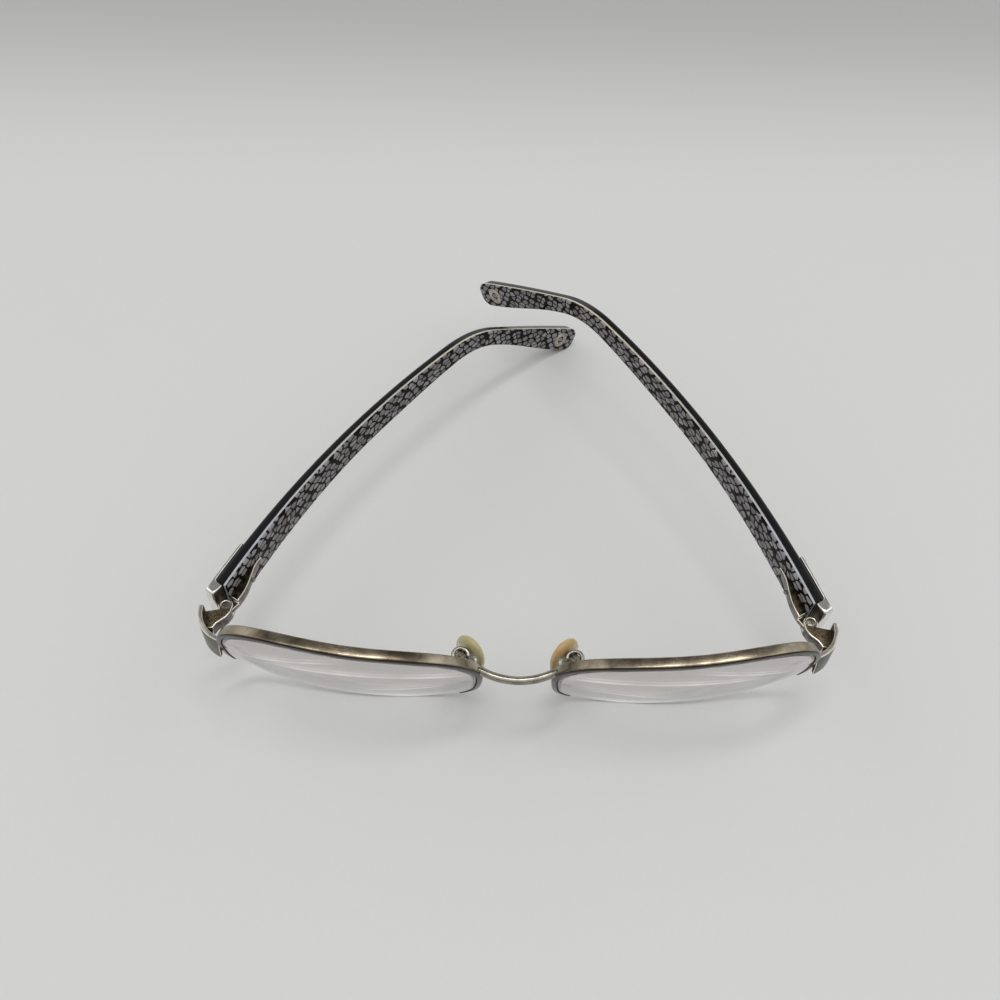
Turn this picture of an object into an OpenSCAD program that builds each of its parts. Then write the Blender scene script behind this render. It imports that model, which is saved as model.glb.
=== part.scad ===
// Rectangular half-rim eyeglasses, lying on a table with their temples part folded.
// Millimetres. +Z is up, +Y runs back along the temples, +X is the wearer's left.
// The left temple lies over the right one, and the right one's tip rests on the table.

/* [Lenses] */
// Width of each lens
lens_w = 50.4; // [47:0.1:53]
// Height of each lens
lens_h = 33; // [31:0.1:35]
// Thickness of each lens
lens_t = 2; // [1.6:0.1:2.6]
// Radius of the curve that the lenses follow
lens_curve_r = 88; // [80:1:110]
// Gap between the two lenses at the nose
lens_gap = 17.2; // [16:0.1:19]
// Turn of each lens round the face
lens_wrap = 5; // [3:0.5:7]
// Lift of each lens's outer end
lens_cant = 4.8; // [3:0.1:6]
// Lean of the front, bottom edge towards the cheeks
front_tilt = 19; // [15:0.5:21]
// Squareness of the upper outer corner, where 2 is round
corner_upper_out = 3.2; // [2.4:0.1:4.5]
// Squareness of the upper corner at the nose
corner_upper_nose = 2.8; // [2.2:0.1:4]
// Squareness of the lower corner at the nose
corner_lower_nose = 4; // [2.8:0.1:4.6]
// Squareness of the lower outer corner
corner_lower_out = 3.9; // [2.8:0.1:4.6]
// Depth of the groove in the lens edge
lens_groove_d = 0.55; // [0.4:0.05:0.7]
// Width of the groove in the lens edge
lens_groove_w = 0.6; // [0.5:0.05:0.8]

/* [Rim] */
// Height of the rim bar above the lens edge
rim_h = 1.15; // [1:0.05:1.5]
// Depth of the rim bar, front to back
rim_d = 2.3; // [2:0.1:3]
// Height of the rim's end at the nose, from the lens centre
rim_end_nose = -13; // [-14:0.1:-9]
// Height of the rim's outer end, from the lens centre
rim_end_out = -9.5; // [-12:0.1:-6]
// Gap between the rim and the lens edge
rim_gap = 0.1; // [0.05:0.01:0.2]
// Depth of the groove inside the rim
rim_groove_d = 0.5; // [0.4:0.05:0.6]
// Diameter of the nylon thread under the lens
thread_d = 0.54; // [0.4:0.02:0.56]
// Length of thread that runs up into each end of the rim
thread_in = 2.4; // [1.5:0.1:4]
// Play between nylon and the grooves it lies in
nylon_gap = 0.03; // [0.02:0.01:0.05]

/* [Bridge and nose pads] */
// Diameter of the bridge wire
bridge_d = 1.7; // [1.4:0.1:2.2]
// Height of the bridge's ends, from the lens centre
bridge_up = 6.6; // [5:0.1:9]
// Forward bow of the bridge
bridge_bow = 2.2; // [1.6:0.1:3.2]
// Upward lean of the bridge's bow
bridge_lean = 12; // [0:1:20]
// Diameter of the pad arm wire
arm_d = 0.85; // [0.7:0.05:1.1]
// Height at which the arm leaves the rim, from the lens centre
arm_up = 7.2; // [5:0.1:9]
// Radius of the arm's loop round the pad screw
arm_loop_r = 1.5; // [1.4:0.05:1.7]
// Sideways place of the pad's middle
pad_x = 9.3; // [9:0.1:10.5]
// Place of the pad's middle behind the lens plane
pad_back = 6.9; // [6.6:0.1:8]
// Height of the pad's middle in the lens plane
pad_up = 17.6; // [16:0.1:19]
// Turn of the pads, open towards the face
pad_splay = 46; // [40:1:50]
// Lean of the pads, together at the top
pad_lean = 10; // [6:1:14]
// Height of a nose pad
pad_h = 11.8; // [11:0.1:13]
// Distance of the pad's middle below its pivot
pad_drop = 1.3; // [0:0.1:1.6]
// Width of a nose pad
pad_w = 7.6; // [7:0.1:8.2]
// Thickness of a nose pad
pad_t = 2.5; // [2.2:0.1:2.8]
// Distance of the pad's pivot from its middle
pad_pivot = 3; // [2.8:0.05:3.3]
// Diameter of the pad screw
pad_screw_d = 0.8; // [0.7:0.05:0.9]
// Gap round the pad screw where the pad rocks
pad_play = 0.04; // [0.02:0.01:0.06]

/* [End pieces and hinges] */
// Distance of each hinge axis outside the lens's outer edge
hinge_out = 1.5; // [0.5:0.1:2.5]
// Height of the hinges' middle above the table
hinge_z = 20.2; // [19:0.1:21.5]
// Thickness of the end piece plate
plate_t = 1; // [0.8:0.05:1.2]
// Height of the end piece plate
plate_h = 6.6; // [6:0.1:7.4]
// Outer radius of the end piece's corner
plate_r = 8.7; // [8.4:0.1:9]
// Gap between the end piece and the temple when the temple is open
plate_rear = 1.4; // [1.3:0.05:1.7]
// Radius of the hinge knuckles
knuckle_r = 1.5; // [1.3:0.05:1.6]
// Height of the whole hinge
hinge_h = 2.8; // [2.6:0.1:3.8]
// Height of the temple's tongue between the two leaves
tongue_h = 1.2; // [1:0.1:1.6]
// Gap between the tongue and each leaf
leaf_gap = 0.05; // [0.03:0.01:0.1]
// Diameter of the hinge screw
screw_d = 1.3; // [1.1:0.05:1.4]
// Diameter of the hinge screw's head
screw_head_d = 1.8; // [1.7:0.05:2.1]
// Height of the hinge screw's head
screw_head_h = 0.35; // [0.25:0.05:0.45]
// Running gap round the hinge screw
screw_play = 0.03; // [0.02:0.01:0.05]

/* [Temples] */
// Length of each temple along its top edge
temple_l = 144; // [140:0.1:147]
// Height of the temple at the hinge
temple_h = 8.3; // [7.8:0.1:9]
// Height of the temple at mid length
temple_mid_h = 6.6; // [6.2:0.1:7.2]
// Height of the temple behind the ear bend
temple_bend_h = 4.4; // [4.2:0.1:5]
// Height of the temple near its tip
temple_tip_h = 7; // [6.6:0.1:7.6]
// Radius of the tip's corners
tip_corner_r = 2.5; // [1.8:0.1:2.8]
// Thickness of the temple at its ends
temple_t = 3.5; // [3.3:0.05:3.8]
// Thickness of the temple that is lost at mid length
temple_slim = 0.6; // [0.3:0.05:0.7]
// Thickness of the pale stripe layer
stripe_t = 0.5; // [0.4:0.05:0.6]
// Thickness of the patterned inner layer
inlay_t = 0.5; // [0.4:0.05:0.6]
// Outward bow of the temple
temple_bow = 8.8; // [8:0.1:9.4]
// Distance of the temple's outer face from the hinge axis
temple_out = 4; // [3.9:0.05:4.1]
// Where the straight top edge ends and the ear bend starts
bend_start = 90.5; // [88:0.5:93]
// Radius of the ear bend
bend_r = 35; // [32:0.5:38]
// Angle of the ear bend
bend_angle = 28.2; // [27:0.1:30]
// Front end of the laminated layers, behind the hinge axis
layers_front = 2.2; // [2.1:0.05:2.6]
// Fold of the right temple from open, as it lies
fold_right = 34.4; // [30:0.1:35]
// Fold of the left temple from open, as it lies
fold_left = 32; // [28:0.1:33]
// Rise of the left temple, which lies over the right one
rise_left = 7.2; // [6.8:0.1:7.6]

/* [Temple metalwork] */
// Height of the core wire
core_h = 1.4; // [1.2:0.1:1.6]
// Thickness of the core wire
core_t = 0.8; // [0.6:0.05:0.9]
// Depth of the core wire's middle under the top edge
core_down = 2.1; // [1.9:0.05:2.2]
// Distance that the core wire stops short of the tip
core_short = 14; // [10:0.5:20]
// Gap round each piece that is let into or soldered onto another
fit_gap = 0.02; // [0.01:0.01:0.04]
// Length of the outer plaque behind the hinge axis
plaque_l = 12.6; // [11:0.1:14]
// Height of the outer plaque
plaque_h = 6.6; // [6:0.1:7.2]
// Thickness of the outer plaque
plaque_t = 0.8; // [0.6:0.05:0.9]
// Front of the plaque's end block, ahead of the hinge axis
plaque_front = 0.8; // [0.7:0.05:0.9]
// Inner side of the plaque's end block
plaque_in = 2.4; // [2.3:0.05:2.6]
// Radius of the plaque's raised domes
dome_r = 1.7; // [1.5:0.05:1.9]
// Height of the raised domes
dome_up = 0.35; // [0.2:0.05:0.5]
// Length of the inner hinge housing behind the hinge axis
house_l = 13.7; // [12.5:0.1:15]
// Height of the inner hinge housing
house_h = 2.4; // [2.3:0.1:3.2]
// How far the housing stands off the inner face at its front
house_out = 2.3; // [2:0.05:2.5]
// How far it stands off at its far tip
house_tip = 0.35; // [0.3:0.05:0.6]
// Diameter of the two rivets through the layers
rivet_d = 1; // [0.8:0.05:1.2]
// Distance of the first rivet behind the hinge axis
rivet_first = 4.4; // [4:0.1:5]
// Spacing of the two rivets
rivet_pitch = 4.2; // [3.6:0.1:4.6]
// Outer diameter of the ring let into the tip
ring_d = 4.5; // [3.6:0.1:4.8]
// Inner diameter of the ring
ring_hole_d = 2.2; // [1.8:0.1:2.8]
// Distance of the ring from the tip
ring_from_tip = 6; // [5.5:0.1:8]
// Depth of the ring in the inner layer
ring_depth = 0.35; // [0.25:0.05:0.38]

/* [Hidden] */

// sides: the right one is -X and the left one +X
RIGHT = -1;
LEFT = 1;
outline_steps = 120;
curve_fn = 720;
ball_fn = 240;
round_fn = 48;
// how far helper solids run past what they cut
past = 40;

// how far the lens plane stands ahead of the hinge line at the table
front_y = -8.3;

function blend(a, b, f) = a + (b - a) * (1 - cos(180 * f)) / 2;
function signed_pow(v, e) = sign(v) * pow(abs(v), e);
function unit(v) = v / norm(v);

// Lens outline, a rounded rectangle with its own squareness at each corner.
// Angles turn from the outer side (0) over the top (90) to the nose (180).
function corner_at(a) = cos(a) >= 0
  ? (sin(a) >= 0 ? corner_upper_out : corner_lower_out)
  : (sin(a) >= 0 ? corner_upper_nose : corner_lower_nose);
function edge_point(a) = let (n = corner_at(a))
  [lens_w / 2 * signed_pow(cos(a), 2 / n), lens_h / 2 * signed_pow(sin(a), 2 / n)];
function edge_normal(a) = let (n = corner_at(a))
  unit([signed_pow(cos(a), 2 - 2 / n) / lens_w, signed_pow(sin(a), 2 - 2 / n) / lens_h]);
function edge_off(a, off) = edge_point(a) + off * edge_normal(a);
// angle at which the outline reaches a height above or below the lens centre
function edge_angle(up, n) = asin(pow(abs(up) / (lens_h / 2), n / 2));
// depth of the curved surface behind the lens plane
function curve_depth(p, off = 0) =
  lens_curve_r - sqrt(pow(lens_curve_r - off, 2) - p[0] * p[0] - p[1] * p[1]);
// a point a given distance behind the curved surface, square to it
function behind_curve(p, off) = let (q = [p[0], curve_depth(p), p[1]])
  q + off * unit([0, lens_curve_r, 0] - q);

// from a lens's own frame [out, back, up] to the frame of the tilted front
lens_x = lens_gap / 2 + lens_w / 2;
hinge_x = lens_x + lens_w / 2 + hinge_out;
function in_front(p) = let (
  x = p[0] * cos(lens_cant) - p[2] * sin(lens_cant),
  z = p[0] * sin(lens_cant) + p[2] * cos(lens_cant))
  [lens_x + x * cos(lens_wrap) - p[1] * sin(lens_wrap),
   x * sin(lens_wrap) + p[1] * cos(lens_wrap),
   lens_h / 2 + z];
// height above the front's own base line, which sets how far the front is lifted
function height_of(p) = let (q = in_front(p)) q[1] * sin(front_tilt) + q[2] * cos(front_tilt);
lens_low = min([for (i = [0:outline_steps - 1]) let (p = edge_point(360 * i / outline_steps))
  height_of([p[0], curve_depth(p, -lens_t / 2), p[1]])]);

module mirrored(side) {
  mirror([side < 0 ? 1 : 0, 0, 0]) children();
}
module whole() {
  translate([0, centre_y, 0]) children();
}
module front_frame(side) {
  whole() translate([0, front_y, -lens_low]) rotate([front_tilt, 0, 0]) mirrored(side) children();
}
module lens_frame(side) {
  front_frame(side) translate([lens_x, 0, lens_h / 2])
    rotate([0, 0, lens_wrap]) rotate([0, -lens_cant, 0]) children();
}

// Solids in a lens's own frame
module outline_shape(off) {
  polygon([for (i = [0:outline_steps - 1]) edge_off(360 * i / outline_steps, off)]);
}
module through_lens() {
  translate([0, past / 2, 0]) rotate([90, 0, 0]) linear_extrude(past) children();
}
module curved_shell(depth) {
  translate([0, lens_curve_r, 0]) difference() {
    sphere(r = lens_curve_r + depth / 2, $fn = ball_fn);
    sphere(r = lens_curve_r - depth / 2, $fn = ball_fn);
  }
}
// the part of the outline's ring above the two ends of the rim
module rim_side(raise) {
  polygon([
    [-past, rim_end_nose + raise], [-lens_w / 4, rim_end_nose + raise],
    [lens_w / 4, rim_end_out + raise], [past, rim_end_out + raise],
    [past, past], [-past, past]]);
}
module ring_shape(inner, outer, raise) {
  intersection() {
    difference() {
      outline_shape(outer);
      outline_shape(inner);
    }
    rim_side(raise);
  }
}
module rim_solid() {
  difference() {
    intersection() {
      curved_shell(rim_d);
      through_lens() ring_shape(rim_gap, rim_gap + rim_h, 0);
    }
    intersection() {
      curved_shell(lens_groove_w + 2 * nylon_gap);
      through_lens() ring_shape(-1, rim_gap + rim_groove_d, -1);
    }
  }
}
module rim_prism() {
  through_lens() outline_shape(rim_gap + rim_h);
}

// A round wire through a list of points, closed at both ends. Its rings are set square to the
// path, with the vector up beside it.
wire_sides = 8;
function ring_faces(n, sides) = concat(
  [[for (k = [sides - 1:-1:0]) k]],
  [[for (k = [0:sides - 1]) (n - 1) * sides + k]],
  [for (i = [0:n - 2]) for (k = [0:sides - 1]) for (half = [0, 1]) let (
    m = (k + 1) % sides, a = i * sides, b = (i + 1) * sides)
    half == 0 ? [a + k, b + m, b + k] : [a + k, a + m, b + m]]);
module wire(path, d, up) {
  n = len(path);
  rings = [for (i = [0:n - 1]) let (
    t = unit(path[min(i + 1, n - 1)] - path[max(i - 1, 0)]),
    b = unit(cross(t, up)),
    c = cross(b, t))
    for (k = [0:wire_sides - 1]) path[i]
      + d / 2 * (cos(360 * k / wire_sides) * b + sin(360 * k / wire_sides) * c)];
  polyhedron(rings, ring_faces(n, wire_sides));
}
// points of a smooth curve through hand-set points
curve_steps = 4;
function smooth_at(p, i, f) = let (
  a = p[max(i - 1, 0)], b = p[i], c = p[i + 1], d = p[min(i + 2, len(p) - 1)])
  0.5 * (2 * b + (c - a) * f + (2 * a - 5 * b + 4 * c - d) * f * f
    + (3 * b - 3 * c + d - a) * f * f * f);
function smooth_path(p) = concat(
  [for (i = [0:len(p) - 2]) for (k = [0:curve_steps - 1]) smooth_at(p, i, k / curve_steps)],
  [p[len(p) - 1]]);

// Lens with its groove, and what holds it
module lens(side) {
  color([0.86, 0.82, 0.85, 0.4]) lens_frame(side) difference() {
    intersection() {
      curved_shell(lens_t);
      through_lens() outline_shape(0);
    }
    intersection() {
      curved_shell(lens_groove_w);
      through_lens() difference() {
        outline_shape(1);
        outline_shape(-lens_groove_d);
      }
    }
  }
}
module rim(side) {
  color([0.55, 0.53, 0.48]) lens_frame(side) rim_solid();
}
module rim_liner(side) {
  color([0.9, 0.9, 0.88]) lens_frame(side) intersection() {
    curved_shell(lens_groove_w - 2 * nylon_gap);
    through_lens() ring_shape(nylon_gap - lens_groove_d, rim_gap + rim_groove_d - nylon_gap,
      thread_in + thread_d);
  }
}
thread_steps = 72;
thread_from = 180 + edge_angle(rim_end_nose + thread_in, corner_lower_nose);
thread_to = 360 - edge_angle(rim_end_out + thread_in, corner_lower_out);
module lens_thread(side) {
  color([0.93, 0.93, 0.9]) lens_frame(side) wire(
    [for (i = [0:thread_steps]) let (
      a = thread_from + (thread_to - thread_from) * i / thread_steps,
      p = edge_off(a, thread_d / 2 + nylon_gap - lens_groove_d))
      [p[0], curve_depth(p), p[1]]],
    thread_d, [0, 1, 0]);
}

// Bridge, a bowed wire trimmed to the rims
bridge_angle = 180 - edge_angle(bridge_up, corner_upper_nose);
bridge_edge = edge_off(bridge_angle, rim_gap + rim_h);
bridge_end = in_front([bridge_edge[0], curve_depth(bridge_edge), bridge_edge[1]]);
bridge_spare = 0.4;
bridge_half = bridge_end[0] + bridge_spare;
bridge_r = (pow(bridge_half, 2) + pow(bridge_bow, 2)) / (2 * bridge_bow);
bridge_sweep = asin(bridge_half / bridge_r);
module bridge() {
  color([0.72, 0.71, 0.66]) difference() {
    front_frame(LEFT) translate([0, bridge_end[1], bridge_end[2]]) rotate([-bridge_lean, 0, 0])
      translate([0, bridge_r - bridge_bow, 0]) rotate([0, 0, -90 - bridge_sweep])
        rotate_extrude(angle = 2 * bridge_sweep, $fn = curve_fn)
          translate([bridge_r, 0]) circle(d = bridge_d, $fn = round_fn);
    for (side = [RIGHT, LEFT]) lens_frame(side) rim_prism();
  }
}

// Nose pads. A pad's own frame has X away from the nose, Y across the pad and Z along it.
module pad_frame(side) {
  front_frame(side) translate([pad_x, pad_back, pad_up])
    rotate([0, 0, -pad_splay]) rotate([0, -pad_lean, 0]) children();
}
function pad_to_front(p) = let (
  x = p[0] * cos(pad_lean) - p[2] * sin(pad_lean),
  z = p[0] * sin(pad_lean) + p[2] * cos(pad_lean))
  [pad_x + x * cos(pad_splay) + p[1] * sin(pad_splay),
   pad_back - x * sin(pad_splay) + p[1] * cos(pad_splay), pad_up + z];
box_wall = 0.35;
box_ahead = 0.8;
box_half_w = 1.25;
box_half_h = 1.15;
box_bore_h = 4;
nub_half_w = 0.6;
nub_half_h = box_half_h - box_wall - leaf_gap;
nub_end = 0.4;
nub_swing = 0.25;
plate_half = [0.3, 1.6, 2.8];
arm_angle = 180 - edge_angle(arm_up, corner_upper_nose);
arm_edge = edge_off(arm_angle, rim_gap + rim_h / 2);
arm_over_box = 0.08;
loop_up = box_half_h + arm_d / 2 + arm_over_box;
arm_seat = 0.14;
arm_foot = 1.2;
loop_first = -70;
loop_last = 130;
loop_step = 20;
arm_path = concat(
  [in_front(behind_curve(arm_edge, rim_d / 2 + arm_seat)),
   in_front(behind_curve(arm_edge, rim_d / 2 + arm_foot))],
  [for (a = [loop_first:loop_step:loop_last])
    pad_to_front([pad_pivot + arm_loop_r * cos(a), arm_loop_r * sin(a), loop_up])]);
module block(from, to) {
  translate(from) cube(to - from);
}
module pad_arm(side) {
  color([0.72, 0.71, 0.66]) front_frame(side) wire(smooth_path(arm_path), arm_d, [0, 0, 1]);
}
module pad_box(side) {
  color([0.72, 0.71, 0.66]) pad_frame(side) difference() {
    block([pad_pivot - box_ahead, -box_half_w, -box_half_h],
      [pad_pivot + nub_end + nub_swing + box_wall, box_half_w, box_half_h]);
    block([pad_pivot - box_ahead - 1, box_wall - box_half_w, box_wall - box_half_h],
      [pad_pivot + nub_end + nub_swing, box_half_w - box_wall, box_half_h - box_wall]);
    translate([pad_pivot, 0, -box_bore_h / 2])
      cylinder(d = pad_screw_d + fit_gap, h = box_bore_h, $fn = round_fn);
  }
}
pad_head_d = 1.3;
pad_head_h = 0.4;
pad_screw_past = 0.2;
pad_slot_w = 0.2;
module pad_screw(side) {
  color([0.6, 0.59, 0.56]) pad_frame(side) translate([pad_pivot, 0, 0]) {
    translate([0, 0, -box_half_h - pad_screw_past])
      cylinder(d = pad_screw_d, h = 2 * box_half_h + pad_screw_past, $fn = round_fn);
    translate([0, 0, box_half_h]) difference() {
      cylinder(d = pad_head_d, h = pad_head_h, $fn = round_fn);
      block([-pad_head_d, -pad_slot_w / 2, pad_head_h / 2],
        [pad_head_d, pad_slot_w / 2, 2 * pad_head_h]);
    }
  }
}
module insert_solid(gap) {
  block([-plate_half[0] - gap, -plate_half[1] - gap, -plate_half[2] - gap],
    [plate_half[0] + gap, plate_half[1] + gap, plate_half[2] + gap]);
  block([0, -nub_half_w - gap, -nub_half_h - gap],
    [pad_pivot + nub_end, nub_half_w + gap, nub_half_h + gap]);
}
module pad_insert(side) {
  color([0.75, 0.74, 0.7]) pad_frame(side) difference() {
    insert_solid(0);
    translate([pad_pivot, 0, -box_bore_h / 2])
      cylinder(d = pad_screw_d + 2 * pad_play, h = box_bore_h, $fn = round_fn);
  }
}
// the pad's surface is a stack of ovals, narrower towards the top
pad_rings = 18;
pad_sides = 28;
pad_full = 0.8;
pad_taper = 0.14;
pad_last = 84;
pad_points = [for (i = [0:pad_rings]) let (b = pad_last * (2 * i / pad_rings - 1),
  r = signed_pow(cos(b), pad_full), up = signed_pow(sin(b), pad_full))
  for (k = [0:pad_sides - 1]) [pad_t / 2 * r * cos(360 * k / pad_sides),
    -pad_w / 2 * r * (1 - pad_taper * up) * sin(360 * k / pad_sides), pad_h / 2 * up - pad_drop]];
module nose_pad(side) {
  color([0.8, 0.76, 0.55, 0.6]) pad_frame(side) difference() {
    polyhedron(pad_points, ring_faces(pad_rings + 1, pad_sides));
    insert_solid(fit_gap);
  }
}

// Hinge frames. In a temple's own frame the hinge axis is Z, Y runs back along the temple
// and X points away from the wearer.
function rise_of(side) = side < 0 ? rise_right : rise_left;
function fold_of(side) = side < 0 ? fold_right : fold_left;
module hinge_place(side) {
  whole() translate([side * hinge_x, 0, hinge_z]) children();
}
module leaf_frame(side) {
  hinge_place(side) rotate([rise_of(side), 0, 0]) mirrored(side) children();
}
module temple_frame(side) {
  leaf_frame(side) rotate([0, 0, fold_of(side)]) children();
}

// End piece, a plate bent round the corner and trimmed to the rim
plate_in_r = plate_r - plate_t;
plate_cx = temple_out + plaque_t - plate_r;
plate_cy = -1.9;
module plate_sweep(r) {
  translate([plate_cx, plate_cy]) circle(r = r, $fn = curve_fn);
}
module end_piece(side) {
  color([0.6, 0.59, 0.55]) difference() {
    hinge_place(side) mirrored(side) translate([0, 0, -plate_h / 2])
      linear_extrude(plate_h) difference() {
        intersection() {
          plate_sweep(plate_r);
          translate([plate_cx, -past - plate_rear]) square([past, past]);
        }
        plate_sweep(plate_in_r);
      }
    lens_frame(side) rim_prism();
  }
}

// Front hinge half: two leaves on a foot that stands on the end piece
leaf_low = tongue_h / 2 + leaf_gap;
foot_air = 0.25;
foot_clear = knuckle_r + foot_air;
foot_points = [[7, -2.2], [1.1, -1.05], [-1.45, -0.3], [-1.35, -1.6], [-0.7, -2.9], [0.9, -4.4],
  [1.5, -5.7], [7, -5.9]];
module hinge_leaves(side) {
  color([0.66, 0.6, 0.46]) difference() {
    leaf_frame(side) difference() {
      translate([0, 0, -hinge_h / 2]) linear_extrude(hinge_h) union() {
        circle(r = knuckle_r, $fn = round_fn);
        polygon(foot_points);
      }
      translate([0, 0, -leaf_low]) cylinder(r = foot_clear, h = 2 * leaf_low, $fn = round_fn);
      translate([0, 0, -past / 2]) cylinder(d = screw_d + fit_gap, h = past, $fn = round_fn);
      translate([0, 0, hinge_h / 2 - screw_head_h])
        cylinder(d = screw_head_d + 2 * fit_gap, h = screw_head_h + 1, $fn = round_fn);
    }
    hinge_place(side) mirrored(side) translate([0, 0, -past / 2]) linear_extrude(past)
      difference() {
        translate([-past / 2, -past / 2]) square([past, past]);
        plate_sweep(plate_in_r);
      }
  }
}
screw_slot_w = 0.3;
module hinge_screw(side) {
  color([0.8, 0.79, 0.74]) leaf_frame(side) {
    translate([0, 0, -hinge_h / 2])
      cylinder(d = screw_d, h = hinge_h - screw_head_h, $fn = round_fn);
    translate([0, 0, hinge_h / 2 - screw_head_h]) difference() {
      cylinder(d = screw_head_d, h = screw_head_h, $fn = round_fn);
      block([-screw_head_d, -screw_slot_w / 2, screw_head_h / 2],
        [screw_head_d, screw_slot_w / 2, 2 * screw_head_h]);
    }
  }
}

// Side view of a temple, as [distance along the top edge, depth under it]
bend_end = bend_start + bend_r * bend_angle * PI / 180;
function turn_at(s) = min(max(s - bend_start, 0) / bend_r * 180 / PI, bend_angle);
function top_edge(s) = let (a = turn_at(s), rest = max(s - bend_end, 0))
  [min(s, bend_start) + bend_r * sin(a) + rest * cos(a),
   temple_h / 2 - bend_r * (1 - cos(a)) - rest * sin(a)];
function side_point(s, down) = let (a = turn_at(s)) top_edge(s) - down * [sin(a), cos(a)];
mid_s = 60;
tip_middle = [temple_l - tip_corner_r, temple_tip_h - tip_corner_r];
function depth_at(s) = s < mid_s ? blend(temple_h, temple_mid_h, s / mid_s)
  : s < bend_end ? blend(temple_mid_h, temple_bend_h, (s - mid_s) / (bend_end - mid_s))
  : blend(temple_bend_h, temple_tip_h, min((s - bend_end) / (tip_middle[0] - bend_end), 1));
bend_steps = 10;
under_steps = 28;
corner_steps = 6;
function top_points(down, last) = concat(
  [side_point(layers_front, down)],
  [for (i = [0:bend_steps]) side_point(blend_line(bend_start, bend_end, i / bend_steps), down)],
  [side_point(last, down)]);
function blend_line(a, b, f) = a + (b - a) * f;
function under_points(last) =
  [for (i = [0:under_steps]) let (s = blend_line(last, layers_front, i / under_steps))
    side_point(s, depth_at(s))];
function corner_points() = concat(
  [for (i = [0:corner_steps]) let (a = 90 * i / corner_steps)
    side_point(tip_middle[0] + tip_corner_r * sin(a), tip_corner_r * (1 - cos(a)))],
  [for (i = [0:corner_steps]) let (a = 90 * i / corner_steps)
    side_point(tip_middle[0] + tip_corner_r * cos(a), tip_middle[1] + tip_corner_r * sin(a))]);
module temple_shape() {
  polygon(concat(top_points(0, tip_middle[0] - 1), corner_points(), under_points(tip_middle[0] - 1)));
}
module core_shape(gap) {
  last = temple_l - core_short + gap;
  upper = top_points(core_down - core_h / 2 - gap, last);
  lower = top_points(core_down + core_h / 2 + gap, last);
  polygon(concat(upper, [for (i = [len(lower) - 1:-1:0]) lower[i]]));
}
// extrudes a side view across the temple
module across(from, to) {
  translate([from, 0, 0]) rotate([90, 0, 90]) linear_extrude(to - from) children();
}

// Plan view of a temple: outer and inner faces are two arcs, bowed outwards
plan_l = side_point(temple_l, 0)[0];
function bow_r(bow) = (plan_l * plan_l / 4 + bow * bow) / (2 * bow);
outer_r = bow_r(temple_bow);
inner_r = bow_r(temple_bow + temple_slim);
outer_cx = temple_out + temple_bow - outer_r;
inner_cx = temple_out - temple_t + temple_bow + temple_slim - inner_r;
// X of the inner face at a distance back from the hinge, for a layer that deep
function face_x(y, depth) = depth >= temple_t
  ? inner_cx + sqrt(inner_r * inner_r - pow(y - plan_l / 2, 2))
  : outer_cx + sqrt(outer_r * outer_r - pow(y - plan_l / 2, 2)) - depth;
// the whole object is centred on its own length, from the rims' front to the left tip
front_most = front_y + min([for (i = [0:outline_steps - 1]) let (
  p = edge_off(360 * i / outline_steps, rim_gap + rim_h),
  q = in_front([p[0], curve_depth(p, -rim_d / 2), p[1]]))
  q[1] * cos(front_tilt) - q[2] * sin(front_tilt)]);
back_most = max([for (p = corner_points())
  (p[0] * cos(fold_left) + face_x(p[0], 0) * sin(fold_left)) * cos(rise_left)
    - p[1] * sin(rise_left)]);
centre_y = -(front_most + back_most) / 2;
// the right temple drops until its rounded tip touches the table
tip_point = side_point(tip_middle[0], tip_middle[1]);
tip_back = tip_point[0] * cos(fold_right) + face_x(tip_point[0], temple_t) * sin(fold_right);
rise_right = asin((tip_corner_r - hinge_z) / norm([tip_back, tip_point[1]]))
  - atan2(tip_point[1], tip_back);
module within_outer(off) {
  translate([outer_cx, plan_l / 2, -past]) cylinder(r = outer_r + off, h = 2 * past, $fn = curve_fn);
}
module within_inner(off) {
  translate([inner_cx, plan_l / 2, -past]) cylinder(r = inner_r + off, h = 2 * past, $fn = curve_fn);
}
cross_from = -8;
cross_to = 18;
core_inside = 0.7;
core_off = inlay_t + stripe_t + core_inside;
module core_solid(gap) {
  intersection() {
    across(cross_from, cross_to) core_shape(gap);
    difference() {
      within_inner(core_off + core_t + gap);
      within_inner(core_off - gap);
    }
  }
}
rivet_down = -0.4;
rivet_in = 0.8;
function rivet_y(i) = rivet_first + i * rivet_pitch;
module rivet_holes(gap) {
  for (i = [0:1]) translate([cross_from, rivet_y(i), rivet_down]) rotate([0, 90, 0])
    cylinder(d = rivet_d + 2 * gap, h = cross_to - cross_from, $fn = round_fn);
}
module layer(from, to) {
  intersection() {
    across(cross_from, cross_to) temple_shape();
    difference() {
      within_inner(to);
      within_inner(from);
    }
  }
}
module temple_outer(side) {
  color([0.05, 0.05, 0.06]) temple_frame(side) difference() {
    intersection() {
      across(cross_from, cross_to) temple_shape();
      difference() {
        within_outer(0);
        within_inner(inlay_t + stripe_t);
      }
    }
    core_solid(fit_gap);
    rivet_holes(fit_gap);
  }
}
module temple_stripe(side) {
  color([0.85, 0.82, 0.74]) temple_frame(side) difference() {
    layer(inlay_t, inlay_t + stripe_t);
    rivet_holes(fit_gap);
  }
}
ring_at = side_point(temple_l - ring_from_tip, temple_tip_h / 2);
module ring_bar(d) {
  translate([cross_from, ring_at[0], ring_at[1]]) rotate([0, 90, 0])
    cylinder(d = d, h = cross_to - cross_from, $fn = round_fn);
}
module ring_solid(gap) {
  intersection() {
    difference() {
      ring_bar(ring_d + 2 * gap);
      ring_bar(ring_hole_d - 2 * gap);
    }
    difference() {
      within_inner(ring_depth);
      within_inner(gap > 0 ? -1 : 0);
    }
  }
}
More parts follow.
